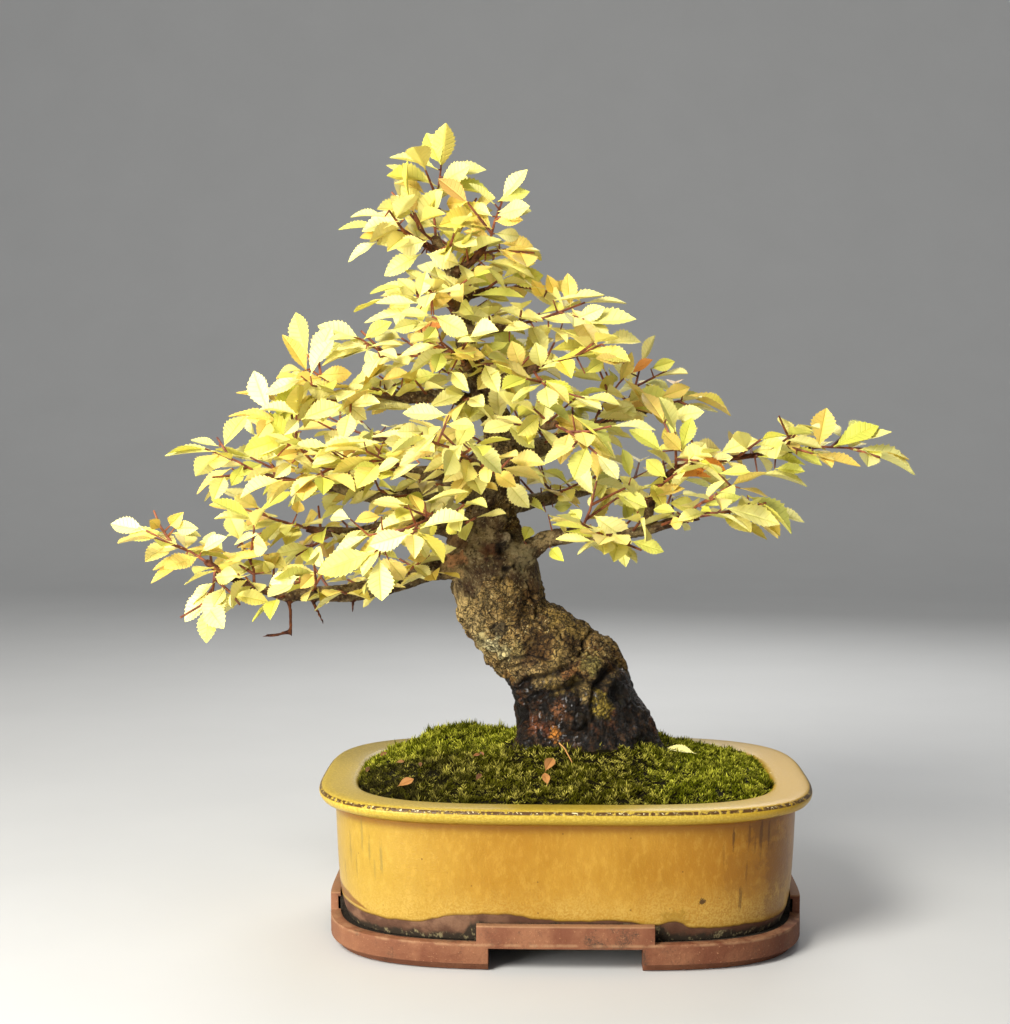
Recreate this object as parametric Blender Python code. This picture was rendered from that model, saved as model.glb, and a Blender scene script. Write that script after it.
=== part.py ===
# Zelkova bonsai in a glazed oval pot, in autumn leaf.
# Lengths in the tables are millimetres, and MM turns them into Blender's metres.
# The tree's tables are read off the front view, in the pot's own frame: x to the right, y away, z up.

import math
import random

import bmesh
import bpy
from mathutils import Matrix, Vector, noise
from mathutils.bvhtree import BVHTree

MM = 0.001
GAP = 0.3
CUT_MARGIN = 6.0
SHARP_ANGLE = 40

# The front view was read on the plane y = 0, from an eye this far in front of the pot.
EYE = Vector((-5.8, -760.0, 223.5))

# The middle of the whole object's box from above, in the pot's frame.
BOX_MIDDLE = (-21.4, 10.0)

# Pot: an oval plan, a superellipse, whose depth is less than its width by the same amount at every height.
LIP_HALF_WIDTH = 100.0
WIDTH_OVER_DEPTH = 24.0
PLAN_POWER = 3.5
PLAN_SIDES = 36
LIP_TOP = 63.6
WALL_FOOT = 10.0
FLOOR_TOP = 16.5
INNER_TOP_HALF_WIDTH = 84.2
INNER_FLOOR_HALF_WIDTH = 81.5
# Each row is the wall's half width and height, up the outside, over the lip and down the inside.
WALL_PROFILE = (
    (88.5, WALL_FOOT), (92.4, 26.0), (95.0, 56.8),
    (98.2, 58.0), (LIP_HALF_WIDTH, 60.8), (99.2, 62.8), (96.8, LIP_TOP),
    (86.0, 63.2), (INNER_TOP_HALF_WIDTH, 61.8), (INNER_FLOOR_HALF_WIDTH, FLOOR_TOP),
)
# Foot belt: it stands proud of the wall, low at the corners and raised over an arch on each side.
BELT_HALF_WIDTH = 96.4
BELT_INNER_HALF_WIDTH = 87.0
BELT_LOW = 2.2
BELT_CORNER_TOP = 11.0
BELT_RAISED_TOP = 18.0
ARCH_HEIGHT = 9.2
ARCH_HALF_SPAN = (29.5, 21.0)
RAISED_HALF_SPAN = (34.0, 25.5)
SOLE_HALF_WIDTH = 94.6
SOLE_INNER_HALF_WIDTH = 84.0
DRAIN_RADIUS = 7.0
DRAIN_OFFSET = 42.0
SCREEN_SIDE = 24.0
SCREEN_THICK = 1.2
SCREEN_CELLS = 2
SCREEN_BAR = 2.0

# Soil and moss. The soil's top rises from its rim over a shoulder to its crown, and the moss's underside
# follows it. The two rows are half width, half depth and height.
SOIL_INSET = 1.2
SOIL_RIM_TOP = 59.5
SOIL_SHOULDER = (58.0, 44.0, 66.0)
SOIL_CROWN = (42.0, 32.0, 68.0)
MOSS_RIM_TOP = 63.4
MOSS_UNDER_RIM = 0.5
# The moss's mound: half plan and power of its oval, its rise, how sharply it falls to the rim, and the hump at
# the back left as x, y, height and spread.
MOUND_HALF_PLAN = (85.0, 61.0)
MOUND_POWER = 2.6
MOUND_RISE = 12.5
MOUND_FALL = 1.7
MOUND_HUMP = (-46.0, 30.0, 6.5, 420.0)
MOSS_RINGS = 10
MOSS_SIDES = 34
MOSS_SEED = 5
MOSS_TUFTS = (0.0, 0.8, 1.8, 3.0)
MOSS_SETTLE = 1.0
MOSS_RIM = (82.8, 58.8)
MOSS_HUB = (20.0, 20.0)
MOSS_HUB_X = 8.0
MOSS_RING_CROWDING = 0.85

# Trunk: x, y, z and radius of its middle line, from the plug in the soil to where the old leader was cut.
TRUNK = (
    (10, 0, 40, 26), (9.5, 0, 56, 27.5), (8.5, 0, 72, 29), (5, 0, 88, 26.2), (2, 0, 98, 25.2),
    (-3.5, -1, 107, 22.8), (-11.5, -2, 114.5, 19.8), (-19.5, -2, 121, 17.8), (-24.5, -2, 128.5, 18.2),
    (-27, -2, 137, 18.6), (-28.5, -1, 145.5, 18.6), (-30.5, -1, 153.5, 18.2), (-31.5, 0, 161, 16.2),
    (-30, 1, 168, 12), (-28, 2, 176, 8),
)
TRUNK_STEP = 7.0
FOOT_ROOM = 0.6
BARK_RELIEF = 2.2
BARK_GRAIN = 13.0
FINE_GRAIN_SHARE = 0.45
# The relief sets in over the first stretch of height and fades out over the second.
BARK_SETS_IN = (70.0, 84.0)
BARK_FADES = (166.0, 176.0)
ROOT_STEP = 8.0

# Surface roots, each from inside the trunk's foot down into the soil: x, y, z and radius.
ROOTS = (
    ((20, -4, 92, 9), (31, -6, 80, 7.5), (39, -6, 67, 5), (44, -5, 56, 3)),
    ((16, 12, 92, 9), (27, 20, 78, 7), (34, 27, 66, 5), (38, 31, 56, 3)),
    ((-4, 14, 90, 9), (-12, 24, 77, 7), (-18, 32, 66, 5), (-22, 37, 56, 3)),
    ((-8, -8, 90, 9), (-14, -14, 78, 7), (-19, -18, 66, 4.6), (-22, -21, 56, 3)),
    ((8, -12, 88, 9), (11, -20, 77, 7), (13, -27, 65, 5), (14, -31, 56, 3)),
)

# Branches: name, start and end radius, and the points of its line. Points are (x, z, y): where the front
# view shows them on the plane y = 0, and how far behind that plane they really are.
BRANCHES = (
    ("leader", 9.0, 0.8, ((-29, 168, 1), (-26.5, 182, 2), (-26, 196, 3), (-28, 208, 4), (-33, 220, 4),
                          (-38, 232, 3), (-42, 245, 2), (-43, 258, 1), (-47, 270, 0), (-53, 282, 0),
                          (-54, 294, 0), (-52, 304, 0), (-51, 311, 0))),
    ("low_left", 5.0, 0.9, ((-34, 149, -4), (-56, 147, -10), (-74, 140, -16), (-92, 137, -21), (-106, 137, -25),
                            (-116, 136, -27), (-128, 139, -28), (-140, 144, -28), (-155, 154, -27),
                            (-174, 163, -26))),
    ("inner_left", 4.6, 0.9, ((-34, 161, 2), (-54, 166, 3), (-72, 165, 7), (-88, 162, 10), (-103, 163, 9),
                              (-118, 167, 6), (-133, 172, 3))),
    ("middle_left", 4.4, 0.9, ((-28, 176, 3), (-45, 182, 8), (-62, 178, 12), (-80, 177, 14), (-97, 182, 12),
                               (-113, 183, 9), (-125, 186, 6), (-136, 192, 4), (-149, 197, 2))),
    ("upper_left", 4.0, 0.9, ((-27, 190, 2), (-46, 187, -8), (-62, 187, -16), (-80, 191, -21), (-98, 190, -24),
                              (-110, 193, -25), (-116, 202, -25), (-122, 212, -25))),
    ("top_left", 3.6, 0.8, ((-31, 214, 3), (-48, 219, -3), (-65, 218, -8), (-82, 221, -10), (-97, 224, -11),
                            (-104, 229, -11), (-106, 236, -11))),
    ("crown_left", 2.8, 0.8, ((-38, 232, 2), (-52, 236, -5), (-65, 235, -9), (-76, 237, -11), (-84, 242, -11))),
    ("apex_left", 1.9, 0.7, ((-50, 276, 0), (-58, 281, -6), (-67, 286, -9), (-76, 288, -10))),
    ("apex_right", 2.0, 0.7, ((-47, 268, 0), (-38, 274, -4), (-31, 282, -6), (-29, 290, -6), (-26, 298, -6))),
    ("low_right", 4.4, 0.9, ((-20, 150, -6), (-8, 160, -14), (6, 162, -19), (21, 161, -23), (35, 164, -26),
                             (47, 168, -27), (60, 170, -28), (72, 172, -28), (83, 172, -27))),
    ("long_right", 2.2, 0.8, ((33, 163, -25), (35, 173, -19), (38, 183, -14), (46, 189, -10), (58, 192, -8),
                              (74, 194, -6), (90, 196, -4), (106, 198, -3), (128, 197, -2))),
    ("back_right", 4.8, 0.9, ((-24, 193, 4), (-7, 199, 25), (6, 204, 38), (18, 208, 50), (25, 215, 57),
                              (29, 224, 62), (31, 232, 64))),
    ("back_right_side", 2.4, 0.8, ((22, 210, 53), (33, 213, 56), (43, 216, 58), (53, 218, 58))),
    ("upper_right", 2.8, 0.8, ((-34, 221, 3), (-23, 227, -11), (-9, 231, -18), (4, 235, -20), (15, 240, -20))),
    ("crown_right", 2.4, 0.7, ((-41, 245, 1), (-25, 247, -8), (-11, 250, -12), (0, 254, -13), (8, 257, -13))),
    ("crown_back", 2.1, 0.7, ((-43, 259, 1), (-32, 262, 8), (-21, 263, 12), (-10, 264, 14))),
    ("front_low", 4.0, 0.8, ((-36, 160, -8), (-46, 167, -26), (-56, 168, -42), (-66, 164, -52),
                             (-76, 157, -58))),
    ("front_middle", 3.4, 0.8, ((-28, 178, 0), (-33, 186, -20), (-39, 192, -36), (-46, 197, -48),
                                (-55, 200, -56))),
    ("front_right", 3.2, 0.8, ((-25, 200, 3), (-14, 206, -15), (-4, 207, -30), (5, 202, -42), (13, 195, -50))),
    ("front_top", 2.8, 0.8, ((-36, 226, 2), (-40, 231, -14), (-45, 236, -26), (-51, 241, -36))),
    ("front_crown", 2.2, 0.7, ((-43, 254, 1), (-48, 258, -12), (-56, 262, -20), (-65, 264, -25))),
    ("back_low", 5.0, 0.9, ((-31, 163, 6), (-37, 171, 30), (-42, 178, 50), (-44, 186, 66), (-40, 195, 80))),
    ("back_left", 4.2, 0.9, ((-28, 186, 4), (-48, 193, 26), (-68, 199, 42), (-86, 204, 54), (-101, 212, 62))),
    ("back_low_right", 3.8, 0.9, ((-24, 173, 4), (-6, 177, 28), (10, 180, 46), (28, 185, 60), (43, 192, 68))),
    ("back_upper", 3.0, 0.8, ((-31, 214, 5), (-30, 223, 24), (-26, 231, 40), (-20, 238, 54))),
    ("back_crown", 2.3, 0.7, ((-42, 244, 2), (-45, 252, 17), (-50, 260, 28), (-54, 268, 37))),
)
BRANCH_STEP = 17.0
BRANCH_TAPER = 1.3
STOUT_RADIUS = 4.0
DEAD_TWIGS = (
    ((-115, 136, -27), (-114, 129, -29), (-114, 119, -30)),
    ((-114, 121, -30), (-120, 119.5, -31), (-126, 119, -32)),
    ((-106, 137, -25), (-103, 130, -27), (-100, 124, -28)),
    ((-86, 139, -19), (-88, 133, -22), (-88, 129, -24)),
)
DEAD_TWIG_RADIUS = 1.0
DEAD_TWIG_TAPER = 0.2

# Sprays. The last stretch of every branch is a young shoot, and it and its side shoots are one spray. The
# others grow out of a branch's side: name, branch, how far along it, and the (x, z, y) end of the main shoot.
YOUNG_LENGTH = 27.0
YOUNG_SHARE = 0.5
SIDE_SPRAYS = (
    ("under_low_left", "low_left", 0.78, (-147, 133, -38)),
    ("over_low_left", "low_left", 0.66, (-134, 158, -20)),
    ("front_low_left", "low_left", 0.50, (-104, 149, -44)),
    ("near_low_left", "low_left", 0.26, (-74, 146, -38)),
    ("mid_inner_left", "inner_left", 0.62, (-113, 156, 24)),
    ("side_middle_left", "middle_left", 0.72, (-128, 202, 20)),
    ("near_middle_left", "middle_left", 0.45, (-92, 190, 30)),
    ("side_upper_left", "upper_left", 0.66, (-117, 184, -38)),
    ("near_upper_left", "upper_left", 0.38, (-82, 196, -40)),
    ("side_top_left", "top_left", 0.62, (-106, 216, -22)),
    ("under_apex", "leader", 0.79, (-64, 299, -9)),
    ("far_apex", "leader", 0.74, (-44, 296, 16)),
    ("side_apex_right", "apex_right", 0.40, (-22, 279, 4)),
    ("side_low_right", "low_right", 0.66, (68, 182, -42)),
    ("front_low_right", "low_right", 0.42, (18, 161, -42)),
    ("rise_low_right", "low_right", 0.30, (13, 184, -28)),
    ("side_long_right", "long_right", 0.66, (95, 204, -16)),
    ("rise_long_right", "long_right", 0.28, (45, 204, -20)),
    ("side_back_right", "back_right", 0.55, (22, 224, 40)),
    ("side_upper_right", "upper_right", 0.50, (-8, 223, -34)),
)
SIDE_SHOOTS = ((0.30, 1), (0.58, -1))
SHOOTS_BUILT_AT_TIPS = 3
SHOOTS_BUILT_AT_SIDES = 2
SEAT_STEP = 0.1
SEAT_ROOM = 1.5
SIDE_SHOOT_LENGTH = (12.0, 18.0)
SHOOT_RADIUS = 1.0
SHOOT_TIP_RADIUS = 0.65
SHOOT_STEP = 11.0
SHOOT_ROOM = 0.8
DRAWS = 60
SPRAY_SEEDS = 100
NEAR = 70.0
ROOT_ROOM = 3.0
TRUNK_MIDDLE = (-25, 0)
# What grows turns its upper side to this light, and leans outwards by this share.
LIGHT = Vector((0, -0.15, 0.8))
OUTWARD_LEAN = 0.3
BOW_SHARE = 0.12
SIDE_SHOOT_ANGLE = (38, 60)
LEAF_ANGLE = (45, 68)
LEAF_ANGLE_SLACK = 10
LEAF_DROOP = 0.15
LEAF_TUCK = 0.2
BARE_FOOT = 3.0
LEAF_LENGTH = (14.0, 19.5)
LEAF_WIDTH_SHARE = (0.50, 0.60)
LEAF_THICK = 0.64
LEAF_FOLD = 0.22
LEAF_SINK = 0.12
LEAF_SPACING = 6.0
LEAVES_PER_SPRAY = 3
# Half outline of a blade: distance from the root and half width, as shares of its length and half width.
# The notches between the teeth are the points where the half width steps in.
LEAF_OUTLINE = ((0.36, 1.0), (0.42, 0.80), (0.65, 0.88), (0.70, 0.60))

FALLEN_UP = (0.1, -0.2, 1.0)
FALLEN_DROP = 8.0
FALLEN_WIDTH_SHARE = 0.55
# Fallen leaves on the moss: name, x, y, turn in degrees, length.
FALLEN = (
    ("fallen_leaf_yellow", 54, -8, 160, 12.5),
    ("fallen_leaf_brown_1", -8, -42, 75, 8.5),
    ("fallen_leaf_brown_2", -7, -53, 100, 6.5),
    ("fallen_leaf_brown_3", -66, -45, 40, 7.0),
)

MATERIALS = {
    "glazed_clay": ((0.62, 0.38, 0.07), 0.32),
    "plastic_mesh": ((0.06, 0.06, 0.06), 0.6),
    "soil": ((0.09, 0.06, 0.04), 0.95),
    "moss": ((0.12, 0.15, 0.02), 0.95),
    "bark": ((0.15, 0.10, 0.05), 0.9),
    "leaf": ((0.78, 0.68, 0.20), 0.6),
    "dry_leaf": ((0.50, 0.24, 0.08), 0.8),
}


def clear_scene():
    for obj in list(bpy.data.objects):
        bpy.data.objects.remove(obj)


def new_collection(name):
    collection = bpy.data.collections.new(name)
    bpy.context.scene.collection.children.link(collection)
    return collection


def material(name):
    """The named material, a Principled BSDF with its colour and roughness."""
    found = bpy.data.materials.get(name)
    if found:
        return found
    colour, roughness = MATERIALS[name]
    made = bpy.data.materials.new(name)
    made.use_nodes = True
    shader = made.node_tree.nodes["Principled BSDF"]
    shader.inputs["Base Color"].default_value = (*colour, 1.0)
    shader.inputs["Roughness"].default_value = roughness
    made.diffuse_color = (*colour, 1.0)
    return made


def mesh_object(name, points, faces, collection, material_name=None):
    """An object from points in millimetres and their faces."""
    mesh = bpy.data.meshes.new(name)
    mesh.from_pydata([Vector(p) * MM for p in points], [], faces)
    mesh.update()
    obj = bpy.data.objects.new(name, mesh)
    collection.objects.link(obj)
    if material_name:
        mesh.materials.append(material(material_name))
    return obj


def oval_ring(half_width, half_depth, height, sides=PLAN_SIDES):
    """One ring of an oval of the pot's kind, a superellipse."""
    ring = []
    for i in range(sides):
        angle = 2 * math.pi * (i + 0.5) / sides
        c, s = math.cos(angle), math.sin(angle)
        reach = (abs(c) ** PLAN_POWER + abs(s) ** PLAN_POWER) ** (-1 / PLAN_POWER)
        ring.append((half_width * c * reach, half_depth * s * reach, height))
    return ring


def plan_ring(half_width, height, sides=PLAN_SIDES):
    """One ring of the pot's own plan."""
    return oval_ring(half_width, half_width - WIDTH_OVER_DEPTH, height, sides)


def loft(name, rings, collection, material_name=None, closed_loop=False):
    """A closed body through rings of equal count. It is capped, or joined last to first."""
    sides = len(rings[0])
    points = [p for ring in rings for p in ring]
    count = len(rings)
    faces = []
    for r in range(count if closed_loop else count - 1):
        a, b = r * sides, ((r + 1) % count) * sides
        for i in range(sides):
            j = (i + 1) % sides
            faces.append((a + i, a + j, b + j, b + i))
    if not closed_loop:
        faces.append(tuple(reversed(range(sides))))
        faces.append(tuple((count - 1) * sides + i for i in range(sides)))
    obj = mesh_object(name, points, faces, collection, material_name)
    recalculate_normals(obj)
    return obj


def recalculate_normals(obj):
    bm = bmesh.new()
    bm.from_mesh(obj.data)
    bmesh.ops.recalc_face_normals(bm, faces=bm.faces)
    bm.to_mesh(obj.data)
    bm.free()


def box(name, low, high, collection):
    """A box between two corners, in millimetres."""
    middle = [(a + b) / 2 * MM for a, b in zip(low, high)]
    bm = bmesh.new()
    bmesh.ops.create_cube(bm, size=1.0)
    size = [(b - a) * MM for a, b in zip(low, high)]
    bmesh.ops.transform(bm, matrix=Matrix.Translation(middle) @ Matrix.Diagonal((*size, 1.0)), verts=bm.verts)
    mesh = bpy.data.meshes.new(name)
    bm.to_mesh(mesh)
    bm.free()
    obj = bpy.data.objects.new(name, mesh)
    collection.objects.link(obj)
    return obj


def cylinder(name, x, y, low, high, radius, collection, sides=20):
    bm = bmesh.new()
    bmesh.ops.create_cone(bm, cap_ends=True, segments=sides, radius1=radius * MM, radius2=radius * MM,
                          depth=(high - low) * MM)
    bmesh.ops.translate(bm, vec=Vector((x, y, (low + high) / 2)) * MM, verts=bm.verts)
    mesh = bpy.data.meshes.new(name)
    bm.to_mesh(mesh)
    bm.free()
    obj = bpy.data.objects.new(name, mesh)
    collection.objects.link(obj)
    return obj


def boolean(obj, operation, operands, solver="EXACT"):
    """Applies one Boolean of obj with all the operands, which are then removed."""
    operand_collection = bpy.data.collections.new("operands")
    for operand in operands:
        operand_collection.objects.link(operand)
    modifier = obj.modifiers.new("join", "BOOLEAN")
    modifier.operation = operation
    modifier.operand_type = "COLLECTION"
    modifier.collection = operand_collection
    modifier.solver = solver
    bpy.context.view_layer.update()
    evaluated = obj.evaluated_get(bpy.context.evaluated_depsgraph_get())
    mesh = bpy.data.meshes.new_from_object(evaluated)
    obj.modifiers.clear()
    old = obj.data
    obj.data = mesh
    bpy.data.meshes.remove(old)
    for operand in operands:
        bpy.data.objects.remove(operand)
    bpy.data.collections.remove(operand_collection)
    return obj


def make_pot(collection, cutters):
    """The pot's wall with its belt and soles, then the arches and the drain holes cut out of them."""
    pot = loft("pot", [plan_ring(w, z) for w, z in WALL_PROFILE], collection, "glazed_clay")
    belt_rings = [plan_ring(BELT_INNER_HALF_WIDTH, BELT_LOW), plan_ring(BELT_HALF_WIDTH, BELT_LOW),
                  plan_ring(BELT_HALF_WIDTH, BELT_RAISED_TOP), plan_ring(BELT_INNER_HALF_WIDTH, BELT_RAISED_TOP)]
    belt = loft("belt", belt_rings, cutters, closed_loop=True)
    far = LIP_HALF_WIDTH + CUT_MARGIN
    corners = []
    for sx in (-1, 1):
        for sy in (-1, 1):
            xs = sorted((sx * RAISED_HALF_SPAN[0], sx * far))
            ys = sorted((sy * RAISED_HALF_SPAN[1], sy * far))
            low, high = (xs[0], ys[0], BELT_CORNER_TOP), (xs[1], ys[1], BELT_RAISED_TOP + CUT_MARGIN)
            corners.append(box("corner_cut", low, high, cutters))
    boolean(belt, "DIFFERENCE", corners)
    sole_rings = [plan_ring(SOLE_INNER_HALF_WIDTH, 0), plan_ring(SOLE_HALF_WIDTH, 0),
                  plan_ring(SOLE_HALF_WIDTH, BELT_CORNER_TOP - 2), plan_ring(SOLE_INNER_HALF_WIDTH, WALL_FOOT + 1)]
    sole = loft("sole", sole_rings, cutters, closed_loop=True)
    boolean(pot, "UNION", [belt, sole])
    wide, deep = ARCH_HALF_SPAN
    cuts = [box("arch_cut", (-wide, -far, -CUT_MARGIN), (wide, far, ARCH_HEIGHT), cutters),
            box("arch_cut", (-far, -deep, -CUT_MARGIN), (far, deep, ARCH_HEIGHT), cutters)]
    boolean(pot, "DIFFERENCE", cuts)
    drains = [cylinder("drain", x, 0, 0, FLOOR_TOP + CUT_MARGIN, DRAIN_RADIUS, cutters)
              for x in (-DRAIN_OFFSET, DRAIN_OFFSET)]
    boolean(pot, "DIFFERENCE", drains)
    return pot


def make_screen(name, x, collection, cutters):
    """A square of plastic mesh over a drain hole."""
    half = SCREEN_SIDE / 2
    low = FLOOR_TOP + GAP
    plate = box(name, (x - half, -half, low), (x + half, half, low + SCREEN_THICK), collection)
    plate.data.materials.append(material("plastic_mesh"))
    cell = (SCREEN_SIDE - SCREEN_BAR) / SCREEN_CELLS
    cuts = []
    for i in range(SCREEN_CELLS):
        for j in range(SCREEN_CELLS):
            cx, cy = x - half + SCREEN_BAR + i * cell, -half + SCREEN_BAR + j * cell
            side = cell - SCREEN_BAR
            cut_low, cut_high = (cx, cy, low - 1), (cx + side, cy + side, low + SCREEN_THICK + 1)
            cuts.append(box("mesh_cut", cut_low, cut_high, cutters))
    return boolean(plate, "DIFFERENCE", cuts)


def smooth_line(rows, step):
    """Points about a step apart on a smooth curve through the rows, with all their values carried along."""
    rows = [tuple(float(v) for v in row) for row in rows]
    padded = [rows[0], *rows, rows[-1]]
    line = []
    for i in range(len(rows) - 1):
        p0, p1, p2, p3 = padded[i:i + 4]
        length = (Vector(p2[:3]) - Vector(p1[:3])).length
        cuts = max(1, round(length / step))
        for k in range(cuts):
            t = k / cuts
            line.append(tuple(
                0.5 * (2 * b + (c - a) * t + (2 * a - 5 * b + 4 * c - d) * t * t + (3 * b - a - 3 * c + d) * t ** 3)
                for a, b, c, d in zip(p0, p1, p2, p3)))
    line.append(rows[-1])
    return line


def tube(name, line, resolution, collection):
    """A tapered tube along a line of (x, y, z, radius), made as a curve and turned into a welded mesh."""
    curve = bpy.data.curves.new(name, "CURVE")
    curve.dimensions = "3D"
    curve.bevel_depth = MM
    curve.bevel_resolution = resolution
    curve.use_fill_caps = True
    spline = curve.splines.new("POLY")
    spline.points.add(len(line) - 1)
    for point, (x, y, z, radius) in zip(spline.points, line):
        point.co = (x * MM, y * MM, z * MM, 1.0)
        point.radius = radius
    guide = bpy.data.objects.new(name + "_line", curve)
    collection.objects.link(guide)
    bpy.context.view_layer.update()
    mesh = bpy.data.meshes.new_from_object(guide.evaluated_get(bpy.context.evaluated_depsgraph_get()))
    bm = bmesh.new()
    bm.from_mesh(mesh)
    bmesh.ops.remove_doubles(bm, verts=bm.verts, dist=1e-6)
    bmesh.ops.recalc_face_normals(bm, faces=bm.faces)
    bm.to_mesh(mesh)
    bm.free()
    bpy.data.objects.remove(guide)
    bpy.data.curves.remove(curve)
    obj = bpy.data.objects.new(name, mesh)
    collection.objects.link(obj)
    return obj


def at_depth(seen):
    """The true point of (x, z, y): seen at x, z on the plane y = 0, and really at depth y on that line of sight."""
    x, z, y = seen
    reach = (y - EYE.y) / -EYE.y
    return Vector((EYE.x + (x - EYE.x) * reach, y, EYE.z + (z - EYE.z) * reach))


def branch_line(start_radius, end_radius, seen_points):
    """The branch's smooth line, its radius falling quickly at first and then evenly."""
    points = [at_depth(p) for p in seen_points]
    rows = []
    last = len(points) - 1
    for i, p in enumerate(points):
        share = (1 - i / last) ** BRANCH_TAPER
        rows.append((*p, end_radius + (start_radius - end_radius) * share))
    return smooth_line(rows, BRANCH_STEP)


def rise_between(value, low, high):
    """How far a value has come from low to high, from 0 to 1."""
    return min(1.0, max(0.0, (value - low) / (high - low)))


def ruffle_bark(obj):
    """Raises the bark's lumps, along each vertex's normal, above the soil and on the thick wood alone."""
    for vertex in obj.data.vertices:
        height = vertex.co.z / MM
        share = rise_between(height, *BARK_SETS_IN) * (1 - rise_between(height, *BARK_FADES))
        if share:
            coarse = noise.noise(vertex.co / (BARK_GRAIN * MM))
            fine = noise.noise(vertex.co / (FINE_GRAIN_SHARE * BARK_GRAIN * MM))
            vertex.co += vertex.normal * (coarse + 0.5 * fine) * BARK_RELIEF * share * MM


def make_foot(collection, room=0.0):
    """The trunk with its surface roots, which stand in the soil, or with more radius, the room that they need."""
    def fattened(rows, step):
        return [(x, y, z, radius + room) for x, y, z, radius in smooth_line(rows, step)]

    trunk = tube("trunk", fattened(TRUNK, TRUNK_STEP), 6, collection)
    ruffle_bark(trunk)
    roots = [tube("root", fattened(rows, ROOT_STEP), 2, collection) for rows in ROOTS]
    return boolean(trunk, "UNION", roots)


def make_branches(lines, cutters):
    """Every branch, up to where its young shoot starts, and every dead twig, as tubes of their own."""
    tubes = []
    for name, start_radius, _, _ in BRANCHES:
        wood, _ = split_young(lines[name])
        tubes.append(tube(name, wood, 1 if start_radius > STOUT_RADIUS else 0, cutters))
    for points in DEAD_TWIGS:
        rows = [(*at_depth(p), DEAD_TWIG_RADIUS * (1 - DEAD_TWIG_TAPER * i)) for i, p in enumerate(points)]
        tubes.append(tube("dead_twig", rows, 0, cutters))
    return tubes


def make_soil(collection):
    """The soil, from just above the drain screens to its crown round the trunk."""
    rings = [plan_ring(INNER_FLOOR_HALF_WIDTH - SOIL_INSET, FLOOR_TOP + SCREEN_THICK + 2 * GAP),
             plan_ring(INNER_TOP_HALF_WIDTH - SOIL_INSET, SOIL_RIM_TOP),
             oval_ring(*SOIL_SHOULDER), oval_ring(*SOIL_CROWN)]
    return loft("soil", rings, collection, "soil")


def moss_height(x, y):
    """How high the moss's mound stands: low at the rim, high round the trunk, with a hump at the back left."""
    half_width, half_depth = MOUND_HALF_PLAN
    across = (abs(x / half_width) ** MOUND_POWER + abs(y / half_depth) ** MOUND_POWER) ** (1 / MOUND_POWER)
    mound = MOUND_RISE * (1 - min(1.0, across) ** MOUND_FALL)
    hump_x, hump_y, hump_rise, hump_spread = MOUND_HUMP
    hump = hump_rise * math.exp(-((x - hump_x) ** 2 + (y - hump_y) ** 2) / hump_spread)
    return MOSS_RIM_TOP + mound + hump


def make_moss(collection):
    """The moss: a mound of tufts over the whole soil, its top raised vertex by vertex."""
    draw = random.Random(MOSS_SEED)
    (rim_width, rim_depth), (hub_width, hub_depth) = MOSS_RIM, MOSS_HUB
    last = MOSS_RINGS - 1
    rings = []
    for r in range(MOSS_RINGS):
        share = (r / last) ** MOSS_RING_CROWDING
        jitter = 0 if r in (0, last) else 1.0
        width = rim_width + (hub_width - rim_width) * share
        depth = rim_depth + (hub_depth - rim_depth) * share
        ring = []
        for x, y, _ in oval_ring(width, depth, 0, MOSS_SIDES):
            x += draw.uniform(-jitter, jitter) + MOSS_HUB_X * share
            y += draw.uniform(-jitter, jitter)
            tuft = draw.choice(MOSS_TUFTS) - MOSS_SETTLE if r else -MOSS_SETTLE / 2
            ring.append((x, y, moss_height(x, y) + tuft))
        rings.append(ring)
    crown_width, crown_depth, crown_top = SOIL_CROWN
    shoulder_width, shoulder_depth, shoulder_top = SOIL_SHOULDER
    rings += [[(x, y, crown_top + GAP) for x, y, _ in rings[-1]],
              oval_ring(crown_width, crown_depth, crown_top + GAP, MOSS_SIDES),
              oval_ring(shoulder_width, shoulder_depth, shoulder_top + GAP, MOSS_SIDES),
              plan_ring(rim_width - GAP, SOIL_RIM_TOP + MOSS_UNDER_RIM, MOSS_SIDES)]
    return loft("moss", rings, collection, "moss", closed_loop=True)


def leaf_frame(root, direction, up):
    """The matrix whose x runs along the blade and whose z is its upper face's normal."""
    x = direction.normalized()
    y = up.cross(x).normalized()
    z = x.cross(y)
    frame = Matrix((x, y, z)).transposed().to_4x4()
    frame.translation = root
    return frame


def leaf_shape(length, width, grow=0.0):
    """Points and faces of one toothed blade, folded up from its rib into two flat halves."""
    half = width / 2 + grow
    reach = length + grow
    rim = [(-grow, 0.0)]
    rim += [(t * reach, -w * half) for t, w in LEAF_OUTLINE]
    rim += [(reach, 0.0)]
    rim += [(t * reach, w * half) for t, w in reversed(LEAF_OUTLINE)]
    count = len(rim)
    tip = count // 2
    rise = LEAF_THICK / 2 + grow
    points = [(x, y, LEAF_FOLD * abs(y) + side * rise) for side in (1, -1) for x, y in rim]
    halves = [tuple(range(tip + 1)), (0, *range(tip, count))]
    faces = halves + [tuple(count + i for i in reversed(half_face)) for half_face in halves]
    for i in range(count):
        j = (i + 1) % count
        faces.append((i, count + i, count + j, j))
    return points, faces


class Leaf:
    """One blade: the shoot that it grows on, where, and how it lies."""

    def __init__(self, shoot, root, direction, up, length, width):
        self.shoot = shoot
        self.frame = leaf_frame(root - direction * LEAF_SINK, direction, up)
        self.length = length
        self.width = width

    def placed(self, grow=0.0):
        points, faces = leaf_shape(self.length, self.width, grow)
        return [self.frame @ Vector(p) for p in points], faces


def line_length(line):
    return sum((Vector(b[:3]) - Vector(a[:3])).length for a, b in zip(line, line[1:]))


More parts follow.
